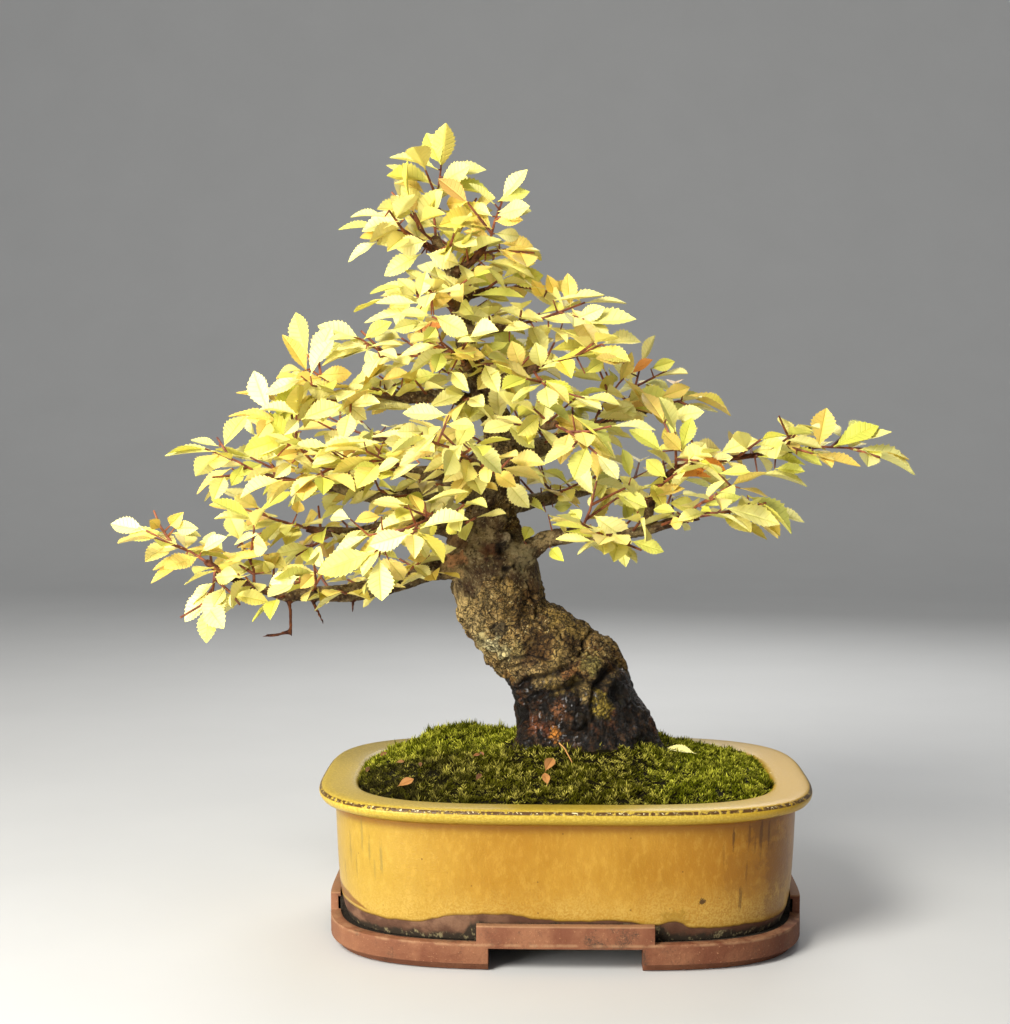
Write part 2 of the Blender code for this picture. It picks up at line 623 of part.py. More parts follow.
def point_along(line, distance):
    """The row at a distance along a line, and the index of the row after it."""
    for i, (a, b) in enumerate(zip(line, line[1:])):
        span = (Vector(b[:3]) - Vector(a[:3])).length
        if distance <= span or i == len(line) - 2:
            share = min(1.0, distance / span)
            return tuple(p + (q - p) * share for p, q in zip(a, b)), i + 1
        distance -= span


def split_young(line):
    """The wood of a branch's line, and the young shoot that is its last stretch."""
    length = line_length(line)
    row, after = point_along(line, length - min(YOUNG_LENGTH, YOUNG_SHARE * length))
    return [*line[:after], row], [row, *line[after:]]


def taper(points):
    """A shoot's rows: its points with radii that fall evenly to its tip."""
    last = len(points) - 1
    return [(*p, SHOOT_RADIUS + (SHOOT_TIP_RADIUS - SHOOT_RADIUS) * i / last) for i, p in enumerate(points)]


def bowed_shoot(start, end, draw):
    """A shoot from start to end, bowed a little to one side and downwards."""
    length = (end - start).length
    bow = Vector((draw.uniform(-1, 1), draw.uniform(-1, 1), draw.uniform(-1, 0.3))) * BOW_SHARE * length
    cuts = max(1, round(length / SHOOT_STEP))
    return taper([start.lerp(end, i / cuts) + bow * 4 * (i / cuts) * (1 - i / cuts) for i in range(cuts + 1)])


def facing_up(direction, outward, draw, wobble):
    """The upper side of what grows in this direction: mostly up, leaning outwards and to the light in front."""
    up = LIGHT + OUTWARD_LEAN * outward
    up += Vector((draw.uniform(-1, 1), draw.uniform(-1, 1), draw.uniform(-0.3, 0.6))) * wobble
    return (up - direction * up.dot(direction)).normalized()


def spray_shoots(main, outward, draw):
    """The main shoot and its side shoots, one to each side."""
    shoots = [main]
    length = line_length(main)
    for share, side in SIDE_SHOOTS:
        root, after = point_along(main, share * length)
        forward = (Vector(main[after][:3]) - Vector(main[after - 1][:3])).normalized()
        angle = math.radians(side * draw.uniform(*SIDE_SHOOT_ANGLE))
        turn = Matrix.Rotation(angle, 3, facing_up(forward, outward, draw, 0.5))
        end = Vector(root[:3]) + turn @ forward * draw.uniform(*SIDE_SHOOT_LENGTH)
        shoots.append(bowed_shoot(Vector(root[:3]), end, draw))
    return shoots


def shoot_leaves(k, shoot, outward, draw):
    """Leaves in two ranks along a shoot, and one at its end, each with how early it is wanted."""
    length = line_length(shoot)
    leaves = []
    for i in range(1 + int((length - BARE_FOOT) / LEAF_SPACING)):
        root, after = point_along(shoot, length - i * LEAF_SPACING)
        forward = (Vector(shoot[after][:3]) - Vector(shoot[after - 1][:3])).normalized()
        face = facing_up(forward, outward, draw, 0.45)
        side = 0 if i == 0 else (-1) ** (i + k)
        angle = side * draw.uniform(*LEAF_ANGLE) + draw.uniform(-LEAF_ANGLE_SLACK, LEAF_ANGLE_SLACK)
        turn = Matrix.Rotation(math.radians(angle), 3, face)
        direction = turn @ forward + Vector((0, 0, -draw.uniform(0.0, LEAF_DROOP)))
        direction = (direction - LEAF_TUCK * face).normalized()
        size = draw.uniform(*LEAF_LENGTH)
        leaf = Leaf(k, Vector(root[:3]), direction, face, size, size * draw.uniform(*LEAF_WIDTH_SHARE))
        leaves.append((i + 0.3 * k, leaf))
    return leaves


def samples(line, step=1.5):
    """Spheres along a line, as (point, radius)."""
    length = line_length(line)
    count = max(1, round(length / step))
    rows = [point_along(line, length * i / count)[0] for i in range(count + 1)]
    return [(Vector(row[:3]), row[3]) for row in rows]


def clear_of(shoot, spheres, root, root_room):
    """Whether a shoot keeps its distance from all the spheres, apart from those round its root."""
    spheres = [s for s in spheres if (s[0] - root).length > root_room]
    for point, radius in samples(shoot):
        if (point - root).length > root_room:
            if any((point - other).length < radius + room + SHOOT_ROOM for other, room in spheres):
                return False
    return True


def spray_starts(lines):
    """Where each spray starts: its name, its main line, and the radius of the wood that it leaves."""
    starts = [("tip_" + name, split_young(lines[name])[1], 0.0) for name, *_ in BRANCHES]
    for name, branch, share, seen in SIDE_SPRAYS:
        row, _ = point_along(lines[branch], share * line_length(lines[branch]))
        starts.append((name, [Vector(row[:3]), at_depth(seen)], row[3]))
    return starts


def plan_sprays(lines):
    """Every spray as (name, shoots, leaves). Each is drawn again until its shoots run clear of the rest."""
    wood = samples(smooth_line(TRUNK, TRUNK_STEP))
    for name, *_ in BRANCHES:
        wood += samples(split_young(lines[name])[0])
    starts = spray_starts(lines)
    main_spheres = {name: samples(taper([row[:3] for row in main])) for name, main, _ in starts[:len(BRANCHES)]}
    side_spheres = []
    plans = []
    for index, (name, main, room) in enumerate(starts):
        root = Vector(main[0][:3])
        others = side_spheres + [s for other, spheres in main_spheres.items() if other != name for s in spheres]
        for attempt in range(DRAWS):
            draw = random.Random(SPRAY_SEEDS * index + attempt)
            if name in main_spheres:
                shoot = taper([Vector(row[:3]) for row in main])
            else:
                shoot = bowed_shoot(root, main[1], draw)
            end = Vector(shoot[-1][:3])
            outward = Vector((end.x - TRUNK_MIDDLE[0], end.y - TRUNK_MIDDLE[1], 0)).normalized()
            shoots = spray_shoots(shoot, outward, draw)
            near = [s for s in wood + others if (s[0] - end).length < NEAR]
            if all(clear_of(one, near, root, room + ROOT_ROOM) for one in shoots):
                break
        else:
            print("no draw keeps its distance:", name)
        leaves = [item for k, one in enumerate(shoots) for item in shoot_leaves(k, one, outward, draw)]
        leaves.sort(key=lambda item: item[0])
        plans.append((name, shoots, [leaf for _, leaf in leaves]))
        for one in shoots[1:] if name in main_spheres else shoots:
            side_spheres += samples(one)
    return plans


def bvh_of(points, faces):
    return BVHTree.FromPolygons([Vector(p) for p in points], faces, all_triangles=False)


def object_bvh(obj):
    points = [v.co / MM for v in obj.data.vertices]
    return bvh_of(points, [tuple(p.vertices) for p in obj.data.polygons])


def outside(tree, point):
    """How far a point lies outside a body, or a negative number inside it."""
    place, normal, _, distance = tree.find_nearest(point)
    return distance if (point - place).dot(normal) > 0 else -distance


def seat_shoot(shoot, tree):
    """The shoot cut back at its root until its base stands clear of the wood by the gap."""
    first, second = Vector(shoot[0][:3]), Vector(shoot[1][:3])
    along = (second - first).normalized()
    radius = shoot[0][3]
    sideways = along.orthogonal().normalized()
    ring = [Matrix.Rotation(a * math.pi / 4, 3, along) @ sideways * radius for a in range(8)]
    travel = 0.0
    while min(outside(tree, first + along * travel + offset) for offset in ring) < GAP:
        travel += SEAT_STEP
    rest = [row for row in shoot[1:] if (Vector(row[:3]) - first).dot(along) > travel + SEAT_ROOM]
    return [(*(first + along * travel), radius), *rest]


def tube_bvh(shoot, grow, cutters):
    fat = tube("fat", [(x, y, z, r + grow) for x, y, z, r in shoot], 0, cutters)
    tree = object_bvh(fat)
    bpy.data.objects.remove(fat)
    return tree


def grow_foliage(plans, wood, collection, cutters, blockers):
    """Builds every spray as one body, with those of its leaves that lie clear of all that was there before."""
    wood_tree = object_bvh(wood)
    bodies = []
    shoot_trees = []
    for name, shoots, _ in plans:
        del shoots[SHOOTS_BUILT_AT_TIPS if name.startswith("tip_") else SHOOTS_BUILT_AT_SIDES:]
        shoots[0] = seat_shoot(shoots[0], wood_tree)
        bodies.append([tube(name, shoot, 0, cutters) for shoot in shoots])
        shoot_trees.append([tube_bvh(shoot, GAP, cutters) for shoot in shoots])
    leaf_trees = []
    for i, (name, shoots, leaves) in enumerate(plans):
        others = [tree for j, trees in enumerate(shoot_trees) if j != i for tree in trees]
        for leaf in leaves:
            if leaf.shoot >= len(shoots):
                continue
            if len(bodies[i]) == len(shoots) + LEAVES_PER_SPRAY:
                break
            tree = bvh_of(*leaf.placed(GAP / 2))
            if any(tree.overlap(other) for other in [wood_tree, *blockers, *others, *leaf_trees]):
                continue
            leaf_trees.append(tree)
            bodies[i].append(mesh_object("blade", *leaf.placed(), cutters))
        spray = bodies[i][0]
        boolean(spray, "UNION", bodies[i][1:], "MANIFOLD")
        spray.name = name
        cutters.objects.unlink(spray)
        collection.objects.link(spray)
        spray.data.materials.clear()
        spray.data.materials.append(material("leaf"))


def drop_leaf(name, x, y, turn, length, moss, collection):
    """A fallen leaf, lowered on to the moss until it lies a hair above the highest tuft under it."""
    tree = object_bvh(moss)
    direction = Matrix.Rotation(math.radians(turn), 3, "Z") @ Vector((1, 0, 0))
    up = Vector(FALLEN_UP).normalized()
    height = moss_height(x, y) + FALLEN_DROP
    while height > MOSS_RIM_TOP:
        leaf = Leaf(0, Vector((x, y, height)), direction, up, length, length * FALLEN_WIDTH_SHARE)
        if bvh_of(*leaf.placed(GAP)).overlap(tree):
            break
        height -= GAP / 2
    leaf.frame.translation.z += GAP
    mesh_object(name, *leaf.placed(), collection, "leaf" if "yellow" in name else "dry_leaf")


def centre_over_origin(collection):
    """Moves everything so that the middle of the whole object's box, and not the pot, stands over the origin."""
    for obj in collection.objects:
        obj.data.transform(Matrix.Translation((-BOX_MIDDLE[0] * MM, -BOX_MIDDLE[1] * MM, 0)))


clear_scene()
bonsai = new_collection("zelkova_bonsai")
cutters = new_collection("cutters")
make_pot(bonsai, cutters)
make_screen("drain_mesh_left", -DRAIN_OFFSET, bonsai, cutters)
make_screen("drain_mesh_right", DRAIN_OFFSET, bonsai, cutters)
foot = make_foot(cutters)
soil = make_soil(bonsai)
boolean(soil, "DIFFERENCE", [make_foot(cutters, FOOT_ROOM)])
moss = make_moss(bonsai)
boolean(moss, "DIFFERENCE", [make_foot(cutters, FOOT_ROOM)], "MANIFOLD")
branch_lines = {name: branch_line(*row) for name, *row in BRANCHES}
boolean(foot, "UNION", make_branches(branch_lines, cutters))
foot.name = "trunk_and_branches"
cutters.objects.unlink(foot)
bonsai.objects.link(foot)
foot.data.materials.append(material("bark"))
grow_foliage(plan_sprays(branch_lines), foot, bonsai, cutters, [object_bvh(moss)])
for row in FALLEN:
    drop_leaf(*row, moss, bonsai)
centre_over_origin(bonsai)
for obj in bonsai.objects:
    obj.data.set_sharp_from_angle(angle=math.radians(SHARP_ANGLE))
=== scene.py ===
# %% [markdown]
# # A small zelkova in autumn leaf, in a glazed pot
#
# The tree is about a foot high. Its form, from the pot's feet to the tips of the furthest leaves, is
# already there as CAD solids. This lesson dresses them: it swaps the plain solids for finer pieces of the
# same form, and gives each surface the finish of the real thing.
#
# The first cell loads the CAD model as a fixed frame. Everything is in metres, and each new piece is made
# where the CAD has it, so nothing needs fitting afterwards.

# %% Load the frame
import math
import random

import bpy
from mathutils import Matrix, Vector, noise
from mathutils.bvhtree import BVHTree
from mathutils.kdtree import KDTree


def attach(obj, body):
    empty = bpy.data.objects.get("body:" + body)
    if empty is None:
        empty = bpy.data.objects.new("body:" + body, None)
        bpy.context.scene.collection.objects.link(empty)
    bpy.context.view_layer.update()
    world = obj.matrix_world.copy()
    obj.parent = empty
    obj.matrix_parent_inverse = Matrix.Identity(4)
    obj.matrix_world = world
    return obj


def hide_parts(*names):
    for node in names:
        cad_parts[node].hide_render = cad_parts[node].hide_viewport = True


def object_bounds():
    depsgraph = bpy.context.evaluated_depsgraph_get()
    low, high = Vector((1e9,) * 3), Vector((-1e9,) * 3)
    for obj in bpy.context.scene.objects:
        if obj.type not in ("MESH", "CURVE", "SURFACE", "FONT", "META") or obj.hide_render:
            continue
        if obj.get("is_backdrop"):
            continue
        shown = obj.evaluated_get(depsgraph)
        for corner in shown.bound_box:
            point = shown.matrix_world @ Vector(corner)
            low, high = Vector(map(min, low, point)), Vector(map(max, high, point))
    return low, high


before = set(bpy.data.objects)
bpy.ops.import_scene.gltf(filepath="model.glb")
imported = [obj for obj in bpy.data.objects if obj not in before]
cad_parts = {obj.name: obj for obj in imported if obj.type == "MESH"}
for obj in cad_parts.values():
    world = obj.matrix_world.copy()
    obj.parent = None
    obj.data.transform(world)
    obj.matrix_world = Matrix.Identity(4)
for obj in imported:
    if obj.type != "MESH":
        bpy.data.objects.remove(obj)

cad_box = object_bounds()
MM = 0.001
POT_MIDDLE = Vector((0.0214, -0.0100, 0.0))
print("the CAD box:", [tuple(round(v / MM, 1) for v in corner) for corner in cad_box])


# %% [markdown]
# ## Working in millimetres
#
# A pot and a tree are easier to read in millimetres, measured from the middle of the pot. `place` turns such
# a measure into a point of the scene. Before each operator, everything is deselected, because an operator
# acts on all that is selected. `finish_piece` is the last step for each new piece: it gets its finishes, its
# place goes into its mesh, and it is told which body it rides on.

# %% Small helpers
def place(x, y, z):
    return POT_MIDDLE + Vector((x, y, z)) * MM


def measured(point):
    """The millimetres from the pot's middle to a point of the scene."""
    return (point - POT_MIDDLE) / MM


def pick_only(obj):
    bpy.ops.object.select_all(action="DESELECT")
    obj.select_set(True)
    bpy.context.view_layer.objects.active = obj


def new_object(name, data):
    obj = bpy.data.objects.new(name, data)
    bpy.context.collection.objects.link(obj)
    return obj


def edit(*steps):
    """Runs operators on all of the active mesh, each written as (operator, settings)."""
    bpy.ops.object.mode_set(mode="EDIT")
    for operator, settings in steps:
        bpy.ops.mesh.select_all(action="SELECT")
        operator(**settings)
    bpy.ops.object.mode_set(mode="OBJECT")


def apply_modifier(obj, kind, **settings):
    """Adds one modifier with these settings and applies it."""
    modifier = obj.modifiers.new(kind.title(), kind)
    for key, value in settings.items():
        setattr(modifier, key, value)
    pick_only(obj)
    bpy.ops.object.modifier_apply(modifier=modifier.name)


def smooth_up_to(obj, degrees):
    """Shades an object smooth, but for edges sharper than this."""
    pick_only(obj)
    bpy.ops.object.shade_smooth_by_angle(angle=math.radians(degrees))


def finish_piece(obj, name, slot, finishes, *nodes):
    obj.name = obj.data.name = name
    for finish in finishes:
        obj.data.materials.append(finish)
    pick_only(obj)
    bpy.ops.object.transform_apply(location=True, rotation=True, scale=True)
    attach(obj, "root")
    if nodes:
        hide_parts(*nodes)
    obj.data.calc_loop_triangles()
    print(f"{name}: {len(obj.data.loop_triangles)} triangles")


# %% [markdown]
# ## Helpers for finishes
#
# A finish is a small tree of shader nodes. `put` adds a node, and each of its inputs is either a value or a
# wire from another node. Adding or multiplying wires puts a Math node behind them, so a mask is written as
# a sum. Patterns read the object's own coordinates, turned into millimetres from the pot's middle by one
# Mapping node, so that a pattern's scale can be read off the real thing.

# %% Node helpers
def srgb(red, green, blue):
    """The linear colour of what a picture shows as these 0 to 255 values."""
    def linear(v):
        v /= 255
        return v / 12.92 if v <= 0.04045 else ((v + 0.055) / 1.055) ** 2.4
    return linear(red), linear(green), linear(blue), 1.0


def join(value, socket):
    """Links a wire to a node's input, or sets it. A colour of three numbers is as a picture shows it."""
    if isinstance(value, Wire):
        socket.id_data.links.new(value.socket, socket)
    elif socket.type == "RGBA" and len(value) == 3:
        socket.default_value = srgb(*value)
    else:
        socket.default_value = value


def put(tree, kind, inputs=None, **settings):
    node = tree.nodes.new(kind if kind.startswith("Node") else "ShaderNode" + kind)
    for key, value in settings.items():
        setattr(node, key, value)
    for key, value in (inputs or {}).items():
        join(value, node.inputs[key])
    return node


def sums(how, first, second=0.0):
    """A Math node on one wire or two, or on a wire and a number."""
    tree = (first if isinstance(first, Wire) else second).tree
    return Wire(put(tree, "Math", {0: first, 1: second}, operation=how))


def summed(how, swapped=False):
    """What a wire does for an operator: a Math node, with the wire as its first input or its second."""
    def method(wire, other=0.0):
        return sums(how, other, wire) if swapped else sums(how, wire, other)
    return method


class Wire:
    """A node's output. Sums with it are Math nodes, so `1 - wire * 2` is a wire too."""
    def __init__(self, node, key=0):
        self.tree = node.id_data
        self.socket = node.outputs[key]

    __add__ = summed("ADD")
    __sub__ = summed("SUBTRACT")
    __rsub__ = summed("SUBTRACT", swapped=True)
    __mul__ = summed("MULTIPLY")
    __truediv__ = summed("DIVIDE")
    __rtruediv__ = summed("DIVIDE", swapped=True)
    __gt__ = summed("GREATER_THAN")
    __abs__ = summed("ABSOLUTE")


def larger(first, second):
    return sums("MAXIMUM", first, second)


def parts(wire, kind="SeparateXYZ"):
    """The three parts of a place, or of a colour."""
    node = put(wire.tree, kind, {0: wire})
    return [Wire(node, i) for i in range(3)]


# %% Masks and patterns
def blend(share, first, second):
    """The colour that lies this share of the way from the first to the second."""
    return Wire(put(share.tree, "Mix", {0: share, 6: first, 7: second}, data_type="RGBA"), 2)


def step_up(value, low, high):
    """0 below low, 1 above high, and a smooth rise between them. With low above high it falls instead."""
    inputs = {"Value": value, "From Min": low, "From Max": high}
    return Wire(put(value.tree, "MapRange", inputs, interpolation_type="SMOOTHSTEP", clamp=True))


def bump_between(value, low, middle, high):
    """0 below low and above high, and 1 at the middle."""
    return step_up(value, low, middle) * step_up(value, high, middle)


def between(share, at_none, at_all):
    """A number that goes from the first to the second as the share goes from 0 to 1."""
    return Wire(put(share.tree, "MapRange", {"Value": share, "To Min": at_none, "To Max": at_all}))


def millimetres(tree, stretch=(1, 1, 1)):
    """Object coordinates in millimetres from the pot's middle, stretched along an axis if need be."""
    coordinates = Wire(put(tree, "TexCoord"), "Object")
    back = [-m / MM * s for m, s in zip(POT_MIDDLE, stretch)]
    scale = [s / MM for s in stretch]
    return Wire(put(tree, "Mapping", {"Vector": coordinates, "Location": back, "Scale": scale}))


def attribute(tree, name, key="Fac"):
    return Wire(put(tree, "Attribute", attribute_name=name), key)


def distance(where, middle):
    return Wire(put(where.tree, "VectorMath", {0: where, 1: middle}, operation="DISTANCE"), "Value")


def clouds(where, grain, detail=3.0, rough=0.55):
    """Soft noise from 0 to 1 with lumps about this many millimetres across."""
    inputs = {"Vector": where, "Scale": 1 / grain, "Detail": detail, "Roughness": rough}
    return Wire(put(where.tree, "TexNoise", inputs), "Fac")


def cells(where, scale, key, feature="F1"):
    return Wire(put(where.tree, "TexVoronoi", {"Vector": where, "Scale": scale}, feature=feature), key)


def bump(height, distance_mm, strength=1.0):
    inputs = {"Height": height, "Distance": distance_mm * MM, "Strength": strength}
    return Wire(put(height.tree, "Bump", inputs))


def new_finish(name):
    """A material with only a Principled BSDF in it, and its tree, shader and coordinates in millimetres."""
    made = bpy.data.materials.new(name)
    made.use_nodes = True
    tree = made.node_tree
    return made, tree, tree.nodes["Principled BSDF"], millimetres(tree)


def feed(shader, **sockets):
    """Links or sets the shader's inputs, written with _ for a blank."""
    for key, value in sockets.items():
        join(value, shader.inputs[key.replace("_", " ")])


# %% [markdown]
# ## Effects that several finishes share: grime and stains
#
# Damp outdoor things are never clean. Fired clay, bark and old soil all carry the same kind of dirt: a fine
# blotchy film with darker specks. And they all have stains, single patches of another colour with ragged
# edges. Each is built once as a node group and placed in each material with its own colours and amounts.
# The groups put out only a colour, and the shader stays in the material.

# %% The grime and stain groups
def new_group(name, inputs, outputs=(("Color", "Color"),)):
    """A node group with sockets of (label, kind), and the wires from its inputs."""
    group = bpy.data.node_groups.new(name, "ShaderNodeTree")
    for way, sockets in (("INPUT", inputs), ("OUTPUT", outputs)):
        for label, kind in sockets:
            group.interface.new_socket(label, in_out=way, socket_type="NodeSocket" + kind)
    node = put(group, "NodeGroupInput")
    return group, {label: Wire(node, label) for label, _ in inputs}


def make_grime_group():
    group, given = new_group("grime", (("Place", "Vector"), ("Clean", "Color"), ("Dirt", "Color"),
                                       ("Patch size", "Float"), ("Amount", "Float")))
    broad = clouds(given["Place"], given["Patch size"], 5.0, 0.65)
    both = broad * 0.75 + clouds(given["Place"], 0.6, 2.0) * 0.25
    edge = 0.78 - given["Amount"] * 0.5
    spread = step_up(both, edge, edge + 0.16)
    put(group, "NodeGroupOutput", {"Color": blend(spread, given["Clean"], given["Dirt"])})
    return group


def make_stain_group():
    group, given = new_group("stain", (("Place", "Vector"), ("Base", "Color"), ("Stain", "Color"),
                                       ("Middle", "Vector"), ("Radius", "Float"), ("Amount", "Float")))
    inputs = {"Vector": given["Place"], "Scale": 2.6 / given["Radius"], "Detail": 5.0, "Roughness": 0.62}
    rough = Wire(put(group, "TexNoise", inputs), "Fac")
    far = distance(given["Place"], given["Middle"]) / given["Radius"]
    share = step_up(far + (rough - 0.5) * 2.6, 1.0, 0.62) * given["Amount"]
    put(group, "NodeGroupOutput", {"Color": blend(share, given["Base"], given["Stain"])})
    return group


grime_group = make_grime_group()
stain_group = make_stain_group()


def grime(where, clean, dirt, patch_size, amount):
    inputs = {"Place": where, "Clean": clean, "Dirt": dirt, "Patch size": patch_size, "Amount": amount}
    return Wire(put(where.tree, "Group", inputs, node_tree=grime_group))


def stained(where, base, stain, middle, radius, amount):
    inputs = {"Place": where, "Base": base, "Stain": stain, "Middle": middle, "Radius": radius,
              "Amount": amount}
    return Wire(put(where.tree, "Group", inputs, node_tree=stain_group))


# %% [markdown]
# ## Camera, light and floor
#
# The camera stands where the photographer stood: 0.76 m in front of the pot's middle, a little above the
# middle of the tree and looking slightly down. A long lens keeps the pot's sides nearly parallel. The light
# is one big soft source above, in front and to the left, with a weaker one lower down that reaches in under
# the crown, a weak one behind, and a pale sky, so that no shadow is black. The floor is plain and pale.

# %% Camera
CAMERA_PLACE = (-5.8, -760.0, 223.5)
CAMERA_TURN = -0.025
CAMERA_DIP = 0.069
EYE = Vector(CAMERA_PLACE)
bpy.ops.object.camera_add(location=place(*CAMERA_PLACE))
camera = bpy.context.object
camera.name = "camera"
looking = Vector((math.sin(CAMERA_TURN) * math.cos(CAMERA_DIP), math.cos(CAMERA_TURN) * math.cos(CAMERA_DIP),
                  -math.sin(CAMERA_DIP)))
camera.rotation_euler = looking.to_track_quat("-Z", "Y").to_euler()
camera.data.sensor_width = 36.0
camera.data.lens = 64.86
camera.data.clip_start = 0.05
bpy.context.scene.camera = camera


# %% Where a thing is seen
def surface_of(obj):
    """A search tree of the object's faces, where they stand in the scene."""
    corners = [obj.matrix_world @ vertex.co for vertex in obj.data.vertices]
    return BVHTree.FromPolygons(corners, [tuple(face.vertices) for face in obj.data.polygons])


def hit_from_eye(surface, x, z):
    """Where the line of sight through x and z, read at the pot's middle depth, first meets a surface."""
    eye = place(*EYE)
    return surface.ray_cast(eye, place(x, 0, z) - eye)[0]


def seen_on(surface, x, z):
    """The same in millimetres, or the surface's point next to the line where it misses."""
    return measured(hit_from_eye(surface, x, z) or surface.find_nearest(place(x, -14, z))[0])


# %% Lights and floor
def soft_light(name, where, target, side, power, colour=(1, 1, 1)):
    bpy.ops.object.light_add(type="AREA", location=place(*where))
    lamp = bpy.context.object
    lamp.name = name
    lamp.rotation_euler = (place(*target) - place(*where)).to_track_quat("-Z", "Y").to_euler()
    lamp.data.size = side * MM
    lamp.data.energy = power
    lamp.data.color = colour


soft_light("key", (-480, -700, 740), (-10, 0, 150), 380, 13.4, (1.0, 0.97, 0.90))
soft_light("low_fill", (-600, -600, 170), (0, 0, 120), 420, 7.4, (1.0, 0.97, 0.92))
soft_light("back_light", (150, 700, 620), (0, 0, 200), 500, 3.4)
world = bpy.data.worlds.new("pale_studio")
bpy.context.scene.world = world
world.use_nodes = True
sky = world.node_tree.nodes["Background"]
join((0.86, 0.88, 0.92, 1), sky.inputs["Color"])
join(0.36, sky.inputs["Strength"])
bpy.context.scene.view_settings.view_transform = "Standard"

bpy.ops.object.select_all(action="DESELECT")
bpy.ops.mesh.primitive_plane_add(size=8.0, location=(0, -1.6, 0))
floor = bpy.context.object
floor.name = "floor"
edit((bpy.ops.mesh.select_all, {"action": "DESELECT"}))
for edge in floor.data.edges:
    edge.select = all(floor.data.vertices[v].co.y > 0 for v in edge.vertices)
bpy.ops.object.mode_set(mode="EDIT")
bpy.ops.mesh.extrude_edges_move(TRANSFORM_OT_translate={"value": (0, 0, 4.0)})
bpy.ops.object.mode_set(mode="OBJECT")
apply_modifier(floor, "BEVEL", width=1.2, segments=16, limit_method="ANGLE")
pick_only(floor)
bpy.ops.object.shade_smooth()
floor_finish, _, floor_shader, where = new_finish("pale_floor")
floor_colour = blend(clouds(where, 90.0), (0.56, 0.56, 0.55, 1), (0.60, 0.60, 0.59, 1))
feed(floor_shader, Base_Color=floor_colour, Roughness=0.9)
floor.data.materials.append(floor_finish)
floor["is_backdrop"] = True


# %% [markdown]
# ## The pot's wall
#
# The pot is pressed or slab-built stoneware. Its plan is an oval with full corners, and it is equally much
# shallower than wide at every height. It could be a box with large bevels, but a ring that is pulled to the
# oval plan and then extruded row by row, as a potter's profile is drawn, gives the slight swell of the
# wall, the thick rolled lip and the inside in one closed skin. Each row of the profile is a half width and
# a height.

# %% The pot's plan
DEPTH_LESS = 24.0
PLAN_POWER = 3.5
WALL_SIDES = 144


def oval_ring(half_width, height, sides):
    """A ring of edges on the pot's oval plan, pulled out of a circle."""
    bpy.ops.object.select_all(action="DESELECT")
    bpy.ops.mesh.primitive_circle_add(vertices=sides, radius=1.0, location=place(0, 0, height))
    ring = bpy.context.object
    for vertex in ring.data.vertices:
        c, s = vertex.co.x, vertex.co.y
        reach = (abs(c) ** PLAN_POWER + abs(s) ** PLAN_POWER) ** (-1 / PLAN_POWER)
        vertex.co = (half_width * c * reach * MM, (half_width - DEPTH_LESS) * s * reach * MM, 0)
    return ring


def extrude_rows(rows):
    """Extrudes the selected ring through rows of (half width, height), in edit mode."""
    for (wide, low), (next_wide, high) in zip(rows, rows[1:]):
        bpy.ops.mesh.extrude_edges_move(TRANSFORM_OT_translate={"value": (0, 0, (high - low) * MM)})
        stretch = (next_wide / wide, (next_wide - DEPTH_LESS) / (wide - DEPTH_LESS), 1)
        bpy.ops.transform.resize(value=stretch, center_override=POT_MIDDLE)


def oval_body(rows, sides=WALL_SIDES):
    """A closed body of the rows: capped at both ends, or a ring where the last row is the first again."""
    ring = oval_ring(*rows[0], sides)
    close = (bpy.ops.mesh.fill_holes, {"sides": 0})
    if rows[0] == rows[-1]:
        close = (bpy.ops.mesh.remove_doubles, {"threshold": 0.01 * MM})
    edit((extrude_rows, {"rows": rows}), close, (bpy.ops.mesh.normals_make_consistent, {"inside": False}))
    return ring


# %% The pot's wall and lip
WALL_ROWS = (
    (87.6, 10.0), (88.8, 10.6), (90.4, 15.0), (91.4, 20.0), (92.0, 25.0), (92.4, 31.0), (92.8, 38.0),
    (93.1, 46.0), (93.4, 53.0), (93.7, 56.2), (94.6, 57.1), (96.6, 57.7), (98.5, 58.5), (99.6, 59.9),
    (99.9, 61.2), (99.6, 62.3), (98.7, 63.1), (97.2, 63.5), (94.5, 63.5), (91.0, 63.3), (87.0, 63.1),
    (85.5, 62.7), (84.6, 61.8), (84.2, 60.2), (83.4, 48.0), (82.3, 30.0), (81.7, 19.0), (80.4, 17.2),
    (78.4, 16.5),
)
DRAIN_PLACES = (-42.0, 42.0)
DRAIN_RADIUS = 7.0


def cut_away(obj, cutter):
    apply_modifier(obj, "BOOLEAN", object=cutter, operation="DIFFERENCE", solver="EXACT")
    bpy.data.objects.remove(cutter)


pot_wall = oval_body(WALL_ROWS)
for drain_x in DRAIN_PLACES:
    bpy.ops.object.select_all(action="DESELECT")
    bpy.ops.mesh.primitive_cylinder_add(vertices=40, radius=DRAIN_RADIUS * MM, depth=20 * MM,
                                        location=place(drain_x, 0, 14))
    cut_away(pot_wall, bpy.context.object)
smooth_up_to(pot_wall, 35)


# %% [markdown]
# ## How far out each point of the pot lies
#
# The glaze breaks to brown along the lip's outer edge. To find that edge, the shader needs to know how far
# out a point lies on the oval plan, which neither x nor y says alone. It is worked out here for each vertex
# and kept as an attribute of the mesh.

# %% Reach attribute
def plan_reach(x, y, halvings=14):
    """How far out a point lies on the oval plan, as the half width of the oval through it."""
    low, high = DEPTH_LESS + 1, 110.0
    for _ in range(halvings):
        middle = (low + high) / 2
        outside = abs(x / middle) ** PLAN_POWER + abs(y / (middle - DEPTH_LESS)) ** PLAN_POWER > 1
        low, high = (middle, high) if outside else (low, middle)
    return middle


